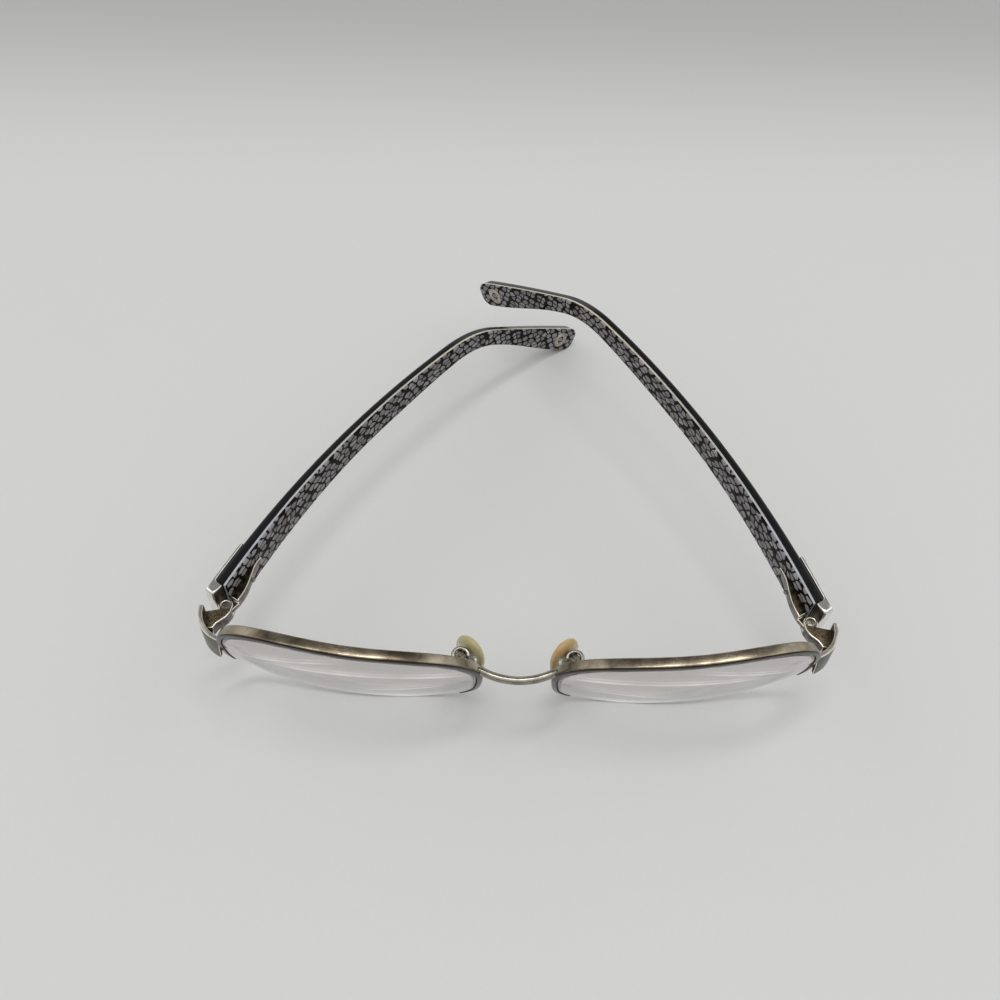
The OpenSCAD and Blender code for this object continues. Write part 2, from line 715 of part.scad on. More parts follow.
module temple_inlay(side) {
  color([0.35, 0.33, 0.33]) temple_frame(side) difference() {
    layer(0, inlay_t);
    rivet_holes(fit_gap);
    ring_solid(fit_gap);
  }
}
module tip_ring(side) {
  color([0.8, 0.77, 0.68]) temple_frame(side) ring_solid(0);
}
module core_wire(side) {
  color([0.7, 0.7, 0.7]) temple_frame(side) core_solid(0);
}

// Outer plaque with its end block, and three plain domes
plaque_corner = 0.8;
dome_first = 3.6;
dome_pitch = 3.1;
module plaque_shape() {
  long = plaque_l + plaque_front - 2 * plaque_corner;
  translate([plaque_corner - plaque_front, plaque_corner - plaque_h / 2])
    for (x = [0, long]) for (y = [0, plaque_h - 2 * plaque_corner])
      translate([x, y]) circle(r = plaque_corner, $fn = round_fn);
  translate([-plaque_front, plaque_corner - plaque_h / 2])
    square([plaque_l + plaque_front, plaque_h - 2 * plaque_corner]);
  translate([plaque_corner - plaque_front, -plaque_h / 2]) square([long, plaque_h]);
}
module temple_plaque(side) {
  color([0.82, 0.82, 0.8]) temple_frame(side) difference() {
    union() {
      intersection() {
        across(plaque_in, cross_to) plaque_shape();
        within_outer(plaque_t);
      }
      for (i = [0:2]) let (y = dome_first + i * dome_pitch)
        translate([face_x(y, -plaque_t) - dome_r + dome_up, y, 0])
          sphere(r = dome_r, $fn = round_fn);
    }
    intersection() {
      within_outer(0);
      block([cross_from, layers_front, -past], [cross_to, past, past]);
    }
    intersection() {
      rivet_holes(fit_gap);
      within_outer(plaque_t / 2);
    }
  }
}

// Rear hinge half: the tongue and the housing it is part of
house_steps = 12;
house_flat = 2;
house_deep = 2;
house_taper = 3;
tongue_side = 0.4;
house_points = concat(
  [for (i = [0:house_steps]) let (y = blend_line(layers_front, house_l, i / house_steps),
    stand = blend(house_out, house_tip, max(0, (i - house_flat) / (house_steps - house_flat))))
    [face_x(y, temple_t) - stand, y]],
  [[face_x(house_l, temple_t) + house_deep, house_l],
   [face_x(house_l, temple_t) + house_deep, layers_front]]);
house_side = [
  [layers_front, -house_h / 2], [house_l - house_taper, -house_h / 2], [house_l, -house_h / 6],
  [house_l, house_h / 6], [house_l - house_taper, house_h / 2], [layers_front, house_h / 2]];
module hinge_housing(side) {
  color([0.66, 0.6, 0.46]) temple_frame(side) difference() {
    union() {
      intersection() {
        translate([0, 0, -house_h / 2]) linear_extrude(house_h) polygon(house_points);
        across(cross_from, cross_to) polygon(house_side);
        within_inner(0);
      }
      translate([0, 0, -tongue_h / 2]) cylinder(r = knuckle_r, h = tongue_h, $fn = round_fn);
      block([-knuckle_r, 0, -tongue_h / 2],
        [tongue_side, layers_front + fit_gap, tongue_h / 2]);
    }
    translate([0, 0, -past / 2]) cylinder(d = screw_d + 2 * screw_play, h = past, $fn = round_fn);
    intersection() {
      rivet_holes(fit_gap);
      within_inner(0);
      translate([face_x(rivet_first, temple_t) - rivet_in, 0, -past])
        cube([past, past, 2 * past]);
    }
  }
}
module temple_rivets(side) {
  color([0.75, 0.75, 0.72]) temple_frame(side) for (i = [0:1]) {
    from = face_x(rivet_first, temple_t) - rivet_in + fit_gap;
    to = face_x(rivet_y(i) - rivet_d / 2, 0) + plaque_t / 2 - 2 * fit_gap;
    translate([from, rivet_y(i), rivet_down]) rotate([0, 90, 0])
      cylinder(d = rivet_d, h = to - from, $fn = round_fn);
  }
}

bridge();
rim(RIGHT);  // right_rim
rim_liner(RIGHT);  // right_rim_liner
lens(RIGHT);  // right_lens
lens_thread(RIGHT);  // right_lens_thread
pad_arm(RIGHT);  // right_pad_arm
pad_box(RIGHT);  // right_pad_box
pad_screw(RIGHT);  // right_pad_screw
pad_insert(RIGHT);  // right_pad_insert
nose_pad(RIGHT);  // right_nose_pad
end_piece(RIGHT);  // right_end_piece
hinge_leaves(RIGHT);  // right_hinge_leaves
hinge_screw(RIGHT);  // right_hinge_screw
hinge_housing(RIGHT);  // right_hinge_housing
temple_outer(RIGHT);  // right_temple_outer
temple_stripe(RIGHT);  // right_temple_stripe
temple_inlay(RIGHT);  // right_temple_inlay
core_wire(RIGHT);  // right_core_wire
temple_plaque(RIGHT);  // right_temple_plaque
temple_rivets(RIGHT);  // right_temple_rivets
tip_ring(RIGHT);  // right_tip_ring
rim(LEFT);  // left_rim
rim_liner(LEFT);  // left_rim_liner
lens(LEFT);  // left_lens
lens_thread(LEFT);  // left_lens_thread
pad_arm(LEFT);  // left_pad_arm
pad_box(LEFT);  // left_pad_box
pad_screw(LEFT);  // left_pad_screw
pad_insert(LEFT);  // left_pad_insert
nose_pad(LEFT);  // left_nose_pad
end_piece(LEFT);  // left_end_piece
hinge_leaves(LEFT);  // left_hinge_leaves
hinge_screw(LEFT);  // left_hinge_screw
hinge_housing(LEFT);  // left_hinge_housing
temple_outer(LEFT);  // left_temple_outer
temple_stripe(LEFT);  // left_temple_stripe
temple_inlay(LEFT);  // left_temple_inlay
core_wire(LEFT);  // left_core_wire
temple_plaque(LEFT);  // left_temple_plaque
temple_rivets(LEFT);  // left_temple_rivets
tip_ring(LEFT);  // left_tip_ring
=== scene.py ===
# Rectangular half-rim eyeglasses on a pale table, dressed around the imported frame.
# Shapes are worked out in millimetres and become metres as each piece is made.
from math import atan2, copysign, cos, hypot, pi, radians, sin, sqrt

import bmesh
import bpy
from mathutils import Matrix, Vector


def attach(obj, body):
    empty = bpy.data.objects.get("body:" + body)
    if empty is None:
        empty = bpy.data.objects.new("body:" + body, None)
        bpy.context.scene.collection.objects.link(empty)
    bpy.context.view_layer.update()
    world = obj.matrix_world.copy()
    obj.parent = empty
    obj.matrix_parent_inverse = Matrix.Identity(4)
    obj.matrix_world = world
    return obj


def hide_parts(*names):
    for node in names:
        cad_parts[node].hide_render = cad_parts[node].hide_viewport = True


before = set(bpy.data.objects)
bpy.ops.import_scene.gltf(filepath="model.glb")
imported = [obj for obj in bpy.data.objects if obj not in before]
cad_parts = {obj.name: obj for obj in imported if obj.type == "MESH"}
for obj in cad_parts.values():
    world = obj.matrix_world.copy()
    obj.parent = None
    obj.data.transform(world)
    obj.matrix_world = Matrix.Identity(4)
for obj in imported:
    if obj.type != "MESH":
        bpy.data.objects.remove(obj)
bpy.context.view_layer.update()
sides = {"right": -1, "left": 1}  # the wearer's right is -X

# where the front and the hinges stand
placing = {
    "frontY": -59.125, "frontLift": 0.559, "frontTilt": 19,
    "hingeX": 60.5, "hingeY": -50.825, "hingeZ": 20.2,
    "rise": {"right": 1.138, "left": 7.2},
    "fold": {"right": 34.4, "left": 32.0},
}


def move(x, y, z):
    return Matrix.Translation((x, y, z))


def turn(degrees, axis):
    return Matrix.Rotation(radians(degrees), 4, axis)


def mirrored(side):
    return Matrix.Diagonal((sides[side], 1, 1, 1))


def frontPlace(side):
    return (move(0, placing["frontY"], placing["frontLift"])
            @ turn(placing["frontTilt"], "X") @ mirrored(side))


def leafPlace(side):
    return (move(sides[side] * placing["hingeX"], placing["hingeY"], placing["hingeZ"])
            @ turn(placing["rise"][side], "X") @ mirrored(side))


def templePlace(side):
    return leafPlace(side) @ turn(placing["fold"][side], "Z")


def smoothUnder(bm, degrees):
    for face in bm.faces:
        face.smooth = True
    for edge in bm.edges:
        edge.smooth = edge.calc_face_angle(0) < radians(degrees)


# turns a mesh worked out in millimetres into one in metres, in its place
def finishMesh(bm, name, place, sharpAngle=35):
    bm.transform(Matrix.Scale(0.001, 4) @ place)
    bmesh.ops.recalc_face_normals(bm, faces=bm.faces)
    smoothUnder(bm, sharpAngle)
    mesh = bpy.data.meshes.new(name)
    bm.to_mesh(mesh)
    bm.free()
    return mesh


def addObject(name, data):
    made = bpy.data.objects.new(name, data)
    bpy.context.scene.collection.objects.link(made)
    return made


def addPiece(name, mesh, body, node, slot, *materials):
    piece = addObject(name, mesh)
    for i, material in enumerate(materials):
        if i < len(mesh.materials):
            mesh.materials[i] = material
        else:
            mesh.materials.append(material)
    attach(piece, body)
    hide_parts(node)


# joins a row of rings into a skin, with its ends closed
def skin(bm, rings, closedAlong=False, uvs=None, finishOf=None):
    grid = [[bm.verts.new(p) for p in ring] for ring in rings]
    layer = bm.loops.layers.uv.new("alongAndDown") if uvs else None
    count = len(rings[0])

    def addFace(corners, finish=0):
        face = bm.faces.new([grid[r][c] for r, c in corners])
        face.material_index = finish
        if layer:
            for loop, (r, c) in zip(face.loops, corners):
                loop[layer].uv = uvs[r][c]

    pairs = list(zip(range(len(grid)), range(1, len(grid))))
    if closedAlong:
        pairs.append((len(grid) - 1, 0))
    for i, j in pairs:
        for k in range(count):
            m = (k + 1) % count
            addFace(((i, k), (i, m), (j, m), (j, k)), finishOf(i) if finishOf else 0)
    if not closedAlong:
        addFace([(0, k) for k in reversed(range(count))])
        addFace([(-1, k) for k in range(count)])


# points round a box from (0, 0) to (wide, deep), with its own radius at each corner
def roundedBox(wide, deep, radii, steps):
    corners = ((0, 0, 180), (wide, 0, 270), (wide, deep, 0), (0, deep, 90))
    points = []
    for (x, y, start), r in zip(corners, radii):
        cx = x + (r if x == 0 else -r)
        cy = y + (r if y == 0 else -r)
        if r == 0:
            points.append((x, y))
            continue
        for i in range(steps + 1):
            a = radians(start + 90 * i / steps)
            points.append((cx + r * cos(a), cy + r * sin(a)))
    return points


# a round wire along a path, its rings turned as little as possible from one to the next;
# endRound is how far its round end stands out
def wireRings(path, radius, count, endRound=0.0):
    path = [Vector(p) for p in path]
    tangents = [(path[min(i + 1, len(path) - 1)] - path[max(i - 1, 0)]).normalized()
                for i in range(len(path))]
    around = [2 * pi * k / count for k in range(count)]
    across = tangents[0].orthogonal().normalized()
    rings = []
    for p, t in zip(path, tangents):
        across = (across - t * across.dot(t)).normalized()
        other = t.cross(across)
        rings.append([p + radius * (cos(a) * across + sin(a) * other) for a in around])
    if endRound:
        p, t = path[-1], tangents[-1]
        spokes = [v - p for v in rings[-1]]
        for a in (radians(20 * i) for i in range(1, 5)):
            rings.append([p + t * endRound * sin(a) + v * cos(a) for v in spokes])
    return rings


def smoothPath(points, steps=8):
    points = [Vector(p) for p in points]
    out = []
    for i in range(len(points) - 1):
        a, b = points[max(i - 1, 0)], points[i]
        c, d = points[i + 1], points[min(i + 2, len(points) - 1)]
        for k in range(steps):
            f = k / steps
            out.append(0.5 * (2 * b + (c - a) * f + (2 * a - 5 * b + 4 * c - d) * f * f
                              + (3 * b - 3 * c + d - a) * f ** 3))
    return out + [points[-1]]


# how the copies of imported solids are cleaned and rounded: merge is in metres, angles in degrees
filing = {"merge": 2e-6, "flatWithin": 0.4, "steps": 3, "edgesOver": 30, "smoothUnder": 32,
          "facesUp": 0.7}


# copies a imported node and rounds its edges; the rounded strips take the second material,
# faces that look up or down the third and faces that look inwards the fourth; grow lifts the
# top of the copy and lowers its bottom
def rounded(node, width, place=None, grow=None):
    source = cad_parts[node]
    bm = bmesh.new()
    bm.from_mesh(source.data)
    bm.transform(source.matrix_world)
    bmesh.ops.remove_doubles(bm, verts=bm.verts, dist=filing["merge"])
    bmesh.ops.dissolve_degenerate(bm, edges=bm.edges, dist=filing["merge"])
    bmesh.ops.dissolve_limit(bm, angle_limit=radians(filing["flatWithin"]), verts=bm.verts,
                             edges=bm.edges)
    if grow:
        inPlace = Matrix.Scale(0.001, 4) @ place
        back = inPlace.inverted()
        for vert in bm.verts:
            local = back @ vert.co
            if abs(local.z) > grow["beyond"]:
                local.z += copysign(grow["by"], local.z)
                vert.co = inPlace @ local
    mesh = bpy.data.meshes.new(node + "_rounded")
    bm.to_mesh(mesh)
    bm.free()
    maker = addObject(node + "_maker", mesh)
    mesh.materials.clear()  # this also puts every face on the first slot
    for i in range(4):
        mesh.materials.append(None)
    if place:
        toLocal = place.to_3x3().inverted()
        for polygon in mesh.polygons:
            normal = toLocal @ polygon.normal
            if abs(normal.z) > filing["facesUp"]:
                polygon.material_index = 2
            elif normal.x * 0.8 - normal.y * 0.6 < 0:
                polygon.material_index = 3
    bevel = maker.modifiers.new("edges", "BEVEL")
    bevel.width = width * 0.001
    bevel.segments = filing["steps"]
    bevel.limit_method = "ANGLE"
    bevel.angle_limit = radians(filing["edgesOver"])
    bevel.material = 1
    bevel.use_clamp_overlap = False
    bevel.miter_outer = "MITER_ARC"
    made = bpy.data.meshes.new_from_object(maker.evaluated_get(
        bpy.context.evaluated_depsgraph_get()))
    bpy.data.objects.remove(maker)
    bm = bmesh.new()
    bm.from_mesh(made)
    smoothUnder(bm, filing["smoothUnder"])
    bm.to_mesh(made)
    bm.free()
    return made


def newGroup(name, inputs, outputs):
    group = bpy.data.node_groups.new(name, "ShaderNodeTree")
    for label, value in inputs:
        socket = group.interface.new_socket(label, in_out="INPUT", socket_type="NodeSocketFloat")
        socket.default_value = value
    for label in outputs:
        group.interface.new_socket(label, in_out="OUTPUT", socket_type="NodeSocketFloat")
    return group, group.nodes.new("NodeGroupInput"), group.nodes.new("NodeGroupOutput")


# in_Name or in_0 sets an input socket, anything else a setting of the node
def addNode(tree, kind, **settings):
    node = tree.nodes.new(kind)
    for key, value in settings.items():
        if key.startswith("in_"):
            name = key[3:]
            socket = node.inputs[int(name) if name.isdigit() else name.replace("_", " ")]
            socket.default_value = value
        else:
            setattr(node, key, value)
    return node


# a Math node; each value is a number or another node's output
def maths(tree, operation, *values):
    node = addNode(tree, "ShaderNodeMath", operation=operation)
    for value, socket in zip(values, node.inputs):
        if isinstance(value, (int, float)):
            socket.default_value = value
        else:
            tree.links.new(value, socket)
    return node.outputs[0]


def mixColour(tree, factor, low, high):
    mix = addNode(tree, "ShaderNodeMix", data_type="RGBA")
    for value, socket in ((low, mix.inputs[6]), (high, mix.inputs[7])):
        if isinstance(value, tuple):
            socket.default_value = (*value, 1)
        else:
            tree.links.new(value, socket)
    tree.links.new(factor, mix.inputs[0])
    return mix.outputs[2]


def spread(tree, value, low, high, fromLow=0.3, fromHigh=0.7, kind="LINEAR"):
    node = addNode(tree, "ShaderNodeMapRange", interpolation_type=kind, in_From_Min=fromLow,
                   in_From_Max=fromHigh, in_To_Min=low, in_To_Max=high)
    tree.links.new(value, node.inputs["Value"])
    return node.outputs[0]


def bump(tree, height, shader, strength, distance):
    node = addNode(tree, "ShaderNodeBump", in_Strength=strength, in_Distance=distance)
    tree.links.new(height, node.inputs["Height"])
    tree.links.new(node.outputs[0], shader.inputs["Normal"])


def newMaterial(name, colour, **sockets):
    material = bpy.data.materials.new(name)
    material.use_nodes = True
    tree = material.node_tree
    shader = tree.nodes["Principled BSDF"]
    shader.inputs["Base Color"].default_value = (*colour, 1)
    for key, value in sockets.items():
        shader.inputs[key.replace("_", " ")].default_value = value
    return material, tree, shader


# long fine marks left by polishing, drawn out along one axis, and broad blotches
def makeBrushed():
    group, given, out = newGroup("brushedMarks", [("Across", 900), ("Along", 60),
                                                  ("Patches", 420)], ["Marks", "Blotches"])
    link = group.links.new
    where = addNode(group, "ShaderNodeTexCoord").outputs["Object"]
    scale = addNode(group, "ShaderNodeCombineXYZ")
    for label, axis in (("Along", "X"), ("Across", "Y"), ("Across", "Z")):
        link(given.outputs[label], scale.inputs[axis])
    drawn = addNode(group, "ShaderNodeVectorMath", operation="MULTIPLY")
    link(where, drawn.inputs[0])
    link(scale.outputs[0], drawn.inputs[1])
    fine = addNode(group, "ShaderNodeTexNoise", in_Scale=6.0, in_Detail=4.0, in_Roughness=0.6)
    link(drawn.outputs[0], fine.inputs["Vector"])
    broad = addNode(group, "ShaderNodeTexNoise", in_Detail=4.0, in_Roughness=0.6)
    link(where, broad.inputs["Vector"])
    link(given.outputs["Patches"], broad.inputs["Scale"])
    link(fine.outputs[0], out.inputs["Marks"])
    link(broad.outputs[0], out.inputs["Blotches"])
    return group


# a film of fine dust and finger marks, as a mask from 0 to 1
def makeHandled():
    group, given, out = newGroup("handledFilm", [("Size", 260), ("Amount", 0.5)],
                                 ["Film", "Specks"])
    link = group.links.new
    where = addNode(group, "ShaderNodeTexCoord").outputs["Object"]
    film = addNode(group, "ShaderNodeTexNoise", in_Detail=5.0, in_Roughness=0.62,
                   in_Distortion=0.6)
    link(where, film.inputs["Vector"])
    link(given.outputs["Size"], film.inputs["Scale"])
    shaped = spread(group, film.outputs[0], 0, 1, 0.42, 0.72)
    link(maths(group, "MULTIPLY", shaped, given.outputs["Amount"]), out.inputs["Film"])
    specks = addNode(group, "ShaderNodeTexVoronoi", in_Scale=900.0)
    link(where, specks.inputs["Vector"])
    link(maths(group, "LESS_THAN", specks.outputs["Distance"], 0.09), out.inputs["Specks"])
    return group


brushedMarks = makeBrushed()
handledFilm = makeHandled()


# adds the film of handling and lets the roughness follow it
def handledGloss(tree, shader, size, low, high, amount=1.0):
    handled = addNode(tree, "ShaderNodeGroup", node_tree=handledFilm, in_Size=size,
                      in_Amount=amount)
    tree.links.new(spread(tree, handled.outputs["Film"], low, high, 0, 1),
                   shader.inputs["Roughness"])
    return handled


# a piece's own coordinates: the pair, how far along and how far down
def alongAndDown(tree):
    where = addNode(tree, "ShaderNodeUVMap", uv_map="alongAndDown")
    split = addNode(tree, "ShaderNodeSeparateXYZ")
    tree.links.new(where.outputs[0], split.inputs[0])
    return where.outputs[0], split.outputs["X"], split.outputs["Y"]


rimShadePaint = {"tone": (0.03, 0.024, 0.017), "ends": 0.9, "endsFrom": 0.27, "endsTo": 0.34,
           "face": 0.95}


# painted shade on the rims: darker on their front faces and towards their ends
def paintedRimShade(tree):
    along, face = alongAndDown(tree)[1:]
    away = maths(tree, "ABSOLUTE", maths(tree, "SUBTRACT", along, 0.5))
    ends = spread(tree, away, 0, rimShadePaint["ends"], rimShadePaint["endsFrom"], rimShadePaint["endsTo"])
    return maths(tree, "MAXIMUM", ends, spread(tree, face, 0, rimShadePaint["face"], 0.2, 0.8))


# metal with polishing marks and darker, duller blotches; soft is how gently these begin
def metal(name, colour, dull, roughness, marks, patches=420, soft=0.165, darkAt=None):
    material, tree, shader = newMaterial(name, colour, Metallic=1.0)
    brushed = addNode(tree, "ShaderNodeGroup", node_tree=brushedMarks, in_Across=900,
                      in_Along=60, in_Patches=patches)
    handled = addNode(tree, "ShaderNodeGroup", node_tree=handledFilm, in_Size=300, in_Amount=1.0)
    blotches = spread(tree, brushed.outputs["Blotches"], 0, 1, 0.515 - soft, 0.515 + soft)
    tone = mixColour(tree, blotches, colour, dull)
    # darkAt paints shade, as on the rims
    if darkAt:
        tone = mixColour(tree, darkAt(tree), tone, rimShadePaint["tone"])
    tree.links.new(tone, shader.inputs["Base Color"])
    rough = spread(tree, brushed.outputs["Marks"], roughness * 0.75, roughness * 1.3)
    film = spread(tree, handled.outputs["Film"], 0, 0.08, 0, 1)
    tree.links.new(maths(tree, "ADD", rough, film), shader.inputs["Roughness"])
    bump(tree, brushed.outputs["Marks"], shader, marks, 0.00002)
    return material


# colour, duller colour, roughness and depth of the marks
metalLooks = {
    "rimMetal": ((0.42, 0.365, 0.275), (0.13, 0.106, 0.078), 0.2, 0.10),
    "bridgeMetal": ((0.44, 0.42, 0.36), (0.22, 0.205, 0.17), 0.2, 0.06),
    "satinNickel": ((0.19, 0.19, 0.165), (0.11, 0.11, 0.095), 0.33, 0.10),
    "armMetal": ((0.50, 0.485, 0.43), (0.22, 0.21, 0.18), 0.2, 0.06),
    "dullBox": ((0.16, 0.145, 0.115), (0.06, 0.05, 0.04), 0.36, 0.15),
    "hingeSteel": ((0.25, 0.235, 0.21), (0.08, 0.072, 0.06), 0.26, 0.08),
    # a dark finish for faces that look inwards: painted shade
    "paintedShadeMetal": ((0.14, 0.115, 0.085), (0.07, 0.055, 0.04), 0.35, 0.2),
    # polished edges whose pale colour is a painted highlight
    "polishedEdgeHighlight": ((0.86, 0.82, 0.73), (0.66, 0.62, 0.53), 0.18, 0.05),
    "plaqueMetal": ((0.93, 0.92, 0.90), (0.74, 0.72, 0.68), 0.13, 0.05),
    "screwSteel": ((0.42, 0.39, 0.34), (0.16, 0.14, 0.115), 0.26, 0.12),
    "ringMetal": ((0.56, 0.52, 0.46), (0.30, 0.27, 0.23), 0.24, 0.08),
    # near black with brown specks for the housing's tops and bottoms: painted shade
    "paintedDarkTop": ((0.014, 0.011, 0.008), (0.10, 0.078, 0.048), 0.4, 0.2),
    "coreSteel": ((0.60, 0.60, 0.60), (0.45, 0.45, 0.45), 0.30, 0.10),
}
blotching = {
    "rimMetal": {"patches": 140, "soft": 0.14, "darkAt": paintedRimShade},
    "paintedDarkTop": {"patches": 900, "soft": 0.12},
}
metals = {name: metal(name, *look, **blotching.get(name, {}))
          for name, look in metalLooks.items()}


# raw casting: pitted, old gold on top
def castGold():
    material, tree, shader = newMaterial("castGold", (0.22, 0.18, 0.12), Metallic=1.0)
    brushed = addNode(tree, "ShaderNodeGroup", node_tree=brushedMarks, in_Across=500,
                      in_Along=500)
    pits = addNode(tree, "ShaderNodeTexVoronoi", in_Scale=3200.0)
    where = addNode(tree, "ShaderNodeTexCoord")
    tree.links.new(where.outputs["Object"], pits.inputs["Vector"])
    tone = mixColour(tree, spread(tree, brushed.outputs["Marks"], 0, 1, 0.35, 0.65),
                     (0.045, 0.033, 0.02), (0.21, 0.17, 0.11))
    tree.links.new(tone, shader.inputs["Base Color"])
    tree.links.new(spread(tree, pits.outputs["Distance"], 0.55, 0.36, 0, 0.8),
                   shader.inputs["Roughness"])
    bump(tree, pits.outputs["Distance"], shader, 0.55, 0.00008)
    return material


metals["castGold"] = castGold()
print("metals made")

lensSize = {
    "wide": 50.4, "high": 33.0, "thick": 2.0, "curve": 88.0, "gap": 17.2, "wrap": 5, "cant": 4.8,
    "upperOut": 3.2, "upperNose": 2.8, "lowerNose": 4.0, "lowerOut": 3.9,
    "grooveDeep": 0.55, "grooveWide": 0.6, "edgeRound": 0.28, "stations": 200,
    "rings": (0.06, 0.18, 0.32, 0.46, 0.60, 0.73, 0.84, 0.92, 0.97),  # shares of the way out
}
rimSize = {
    "gap": 0.1, "high": 1.15, "deep": 2.3, "endNose": -13.0, "endOut": -9.5,
    "outerRound": 0.42, "innerRound": 0.14, "grooveDeep": 0.5, "grooveWide": 0.66,
    "stations": 180, "crown": 0.05, "endFiled": 0.10,
    "frontPoints": 11,  # of the section's points, those on the front face
}
threadSize = {"radius": 0.265, "overFloor": 0.30, "pastRim": 1.2, "stations": 110, "sides": 12}
halfWide, halfHigh = lensSize["wide"] / 2, lensSize["high"] / 2
lensMiddle = lensSize["gap"] / 2 + halfWide
# the left lens's own frame, as the front sees it
lensLocal = (move(lensMiddle, 0, halfHigh) @ turn(lensSize["wrap"], "Z")
             @ turn(-lensSize["cant"], "Y"))


def lensPlace(side):
    return frontPlace(side) @ lensLocal


# point and outward normal of the outline in a direction from the lens centre
def outlineAt(angle):
    c, s = cos(angle), sin(angle)
    n = lensSize[("upper" if s >= 0 else "lower") + ("Out" if c >= 0 else "Nose")]
    r = ((abs(c) / halfWide) ** n + (abs(s) / halfHigh) ** n) ** (-1 / n)
    x, z = r * c, r * s
    nx = abs(x) ** (n - 1) / halfWide ** n * (1 if c >= 0 else -1)
    nz = abs(z) ** (n - 1) / halfHigh ** n * (1 if s >= 0 else -1)
    size = hypot(nx, nz)
    return x, z, nx / size, nz / size


def outlineOff(angle, off):
    x, z, nx, nz = outlineAt(angle)
    return x + off * nx, z + off * nz


def angleAtHeight(up, nose):
    n = lensSize[("upper" if up >= 0 else "lower") + ("Nose" if nose else "Out")]
    x = halfWide * (1 - (abs(up) / halfHigh) ** n) ** (1 / n)
    return atan2(up, -x if nose else x)


# angles that step evenly along the outline
def evenAngles(start, end, count):
    steps = 1400
    fine = [start + (end - start) * i / steps for i in range(steps + 1)]
    points = [outlineAt(a)[:2] for a in fine]
    run = [0.0]
    for p, q in zip(points, points[1:]):
        run.append(run[-1] + hypot(q[0] - p[0], q[1] - p[1]))
    out, j = [], 0
    for i in range(count):
        want = run[-1] * i / (count - 1)
        while j < len(run) - 2 and run[j + 1] < want:
            j += 1
        part = (want - run[j]) / max(run[j + 1] - run[j], 1e-9)
        out.append(fine[j] + (fine[j + 1] - fine[j]) * part)
    return out


# a point of the lens plane laid on the curve, and moved back square to it
def onCurve(x, z, back):
    curve = lensSize["curve"]
    q = Vector((x, curve - sqrt(curve * curve - x * x - z * z), z))
    return q + back * (Vector((0, curve, 0)) - q).normalized()


def makeLens(side):
    angles = evenAngles(0, 2 * pi, lensSize["stations"] + 1)[:-1]
    half, soft = lensSize["thick"] / 2, lensSize["edgeRound"]
    grooveHalf, grooveDeep = lensSize["grooveWide"] / 2, lensSize["grooveDeep"]
    # the edge from front to back: a rounded corner, the groove, a rounded corner
    edge = [(-soft, -half), (-soft * 0.3, -half + soft * 0.3), (0, -half + soft),
            (0, -grooveHalf), (-grooveDeep * 0.7, -grooveHalf * 0.8), (-grooveDeep, -0.1),
            (-grooveDeep, 0.1), (-grooveDeep * 0.7, grooveHalf * 0.8), (0, grooveHalf),
            (0, half - soft), (-soft * 0.3, half - soft * 0.3), (-soft, half)]
    shares = lensSize["rings"]
    bands = ([(share, -soft, -half) for share in shares] + [(1, off, back) for off, back in edge]
             + [(share, -soft, half) for share in reversed(shares)])
    rings, uvs = [], []
    for share, off, back in bands:
        flat = [outlineOff(a, off) for a in angles]
        rings.append([onCurve(share * x, share * z, back) for x, z in flat])
        uvs.append([(share * x / halfWide, share * z / halfHigh) for x, z in flat])
    first, last = len(shares) - 1, len(shares) + len(edge) - 1

    # 0 is the glass, 1 the ground edge and 2 the front land of the edge
    def finishOf(i):
        if not first < i < last:
            return 0
        return 2 if i < first + 4 else 1

    bm = bmesh.new()
    skin(bm, rings, uvs=uvs, finishOf=finishOf)
    return finishMesh(bm, side + "_lens_ground", lensPlace(side), 30)


# the rim's cut face, with a slightly crowned top and the groove for the liner
def rimSection():
    high, deep, start = rimSize["high"], rimSize["deep"], rimSize["gap"]
    outer, inner = rimSize["outerRound"], rimSize["innerRound"]
    points = []
    for across, down in roundedBox(high, deep, (inner, outer, outer, inner), 6):
        back = down - deep / 2
        sunk = rimSize["crown"] * (2 * back / deep) ** 2 if across > high / 2 else 0
        points.append((start + across - sunk, back))
    notch, depth = rimSize["grooveWide"] / 2, start + rimSize["grooveDeep"]
    return points + [(start, notch), (depth, notch), (depth, -notch), (start, -notch)]


def makeRim(side):
    angles = evenAngles(angleAtHeight(rimSize["endOut"], False),
                        angleAtHeight(rimSize["endNose"], True) + 2 * pi, rimSize["stations"])
    section = rimSection()
    middle = rimSize["gap"] + rimSize["high"] / 2
    rings = [[onCurve(*outlineOff(a, off), back) for off, back in section] for a in angles]
    # the second coordinate marks the front face, which takes painted shade
    uvs = [[(i / (len(angles) - 1), int(k < rimSize["frontPoints"]))
            for k in range(len(section))] for i in range(len(angles))]
    # the two cut ends are filed round
    for ring, angle in ((rings[0], angles[0]), (rings[-1], angles[-1])):
        centre = onCurve(*outlineOff(angle, middle), 0)
        for p in ring:
            p += rimSize["endFiled"] * (centre - p)
    bm = bmesh.new()
    skin(bm, rings, uvs=uvs)
    return finishMesh(bm, side + "_rim_bar", lensPlace(side), 38)


def makeThread(side):
    start = angleAtHeight(rimSize["endNose"] + threadSize["pastRim"], True) + 2 * pi
    end = angleAtHeight(rimSize["endOut"] + threadSize["pastRim"], False) + 2 * pi
    off = threadSize["overFloor"] - lensSize["grooveDeep"]
    path = [onCurve(*outlineOff(a, off), 0)
            for a in evenAngles(start, end, threadSize["stations"])]
    bm = bmesh.new()
    skin(bm, wireRings(path, threadSize["radius"], threadSize["sides"]))
    return finishMesh(bm, side + "_nylon_thread", lensPlace(side))


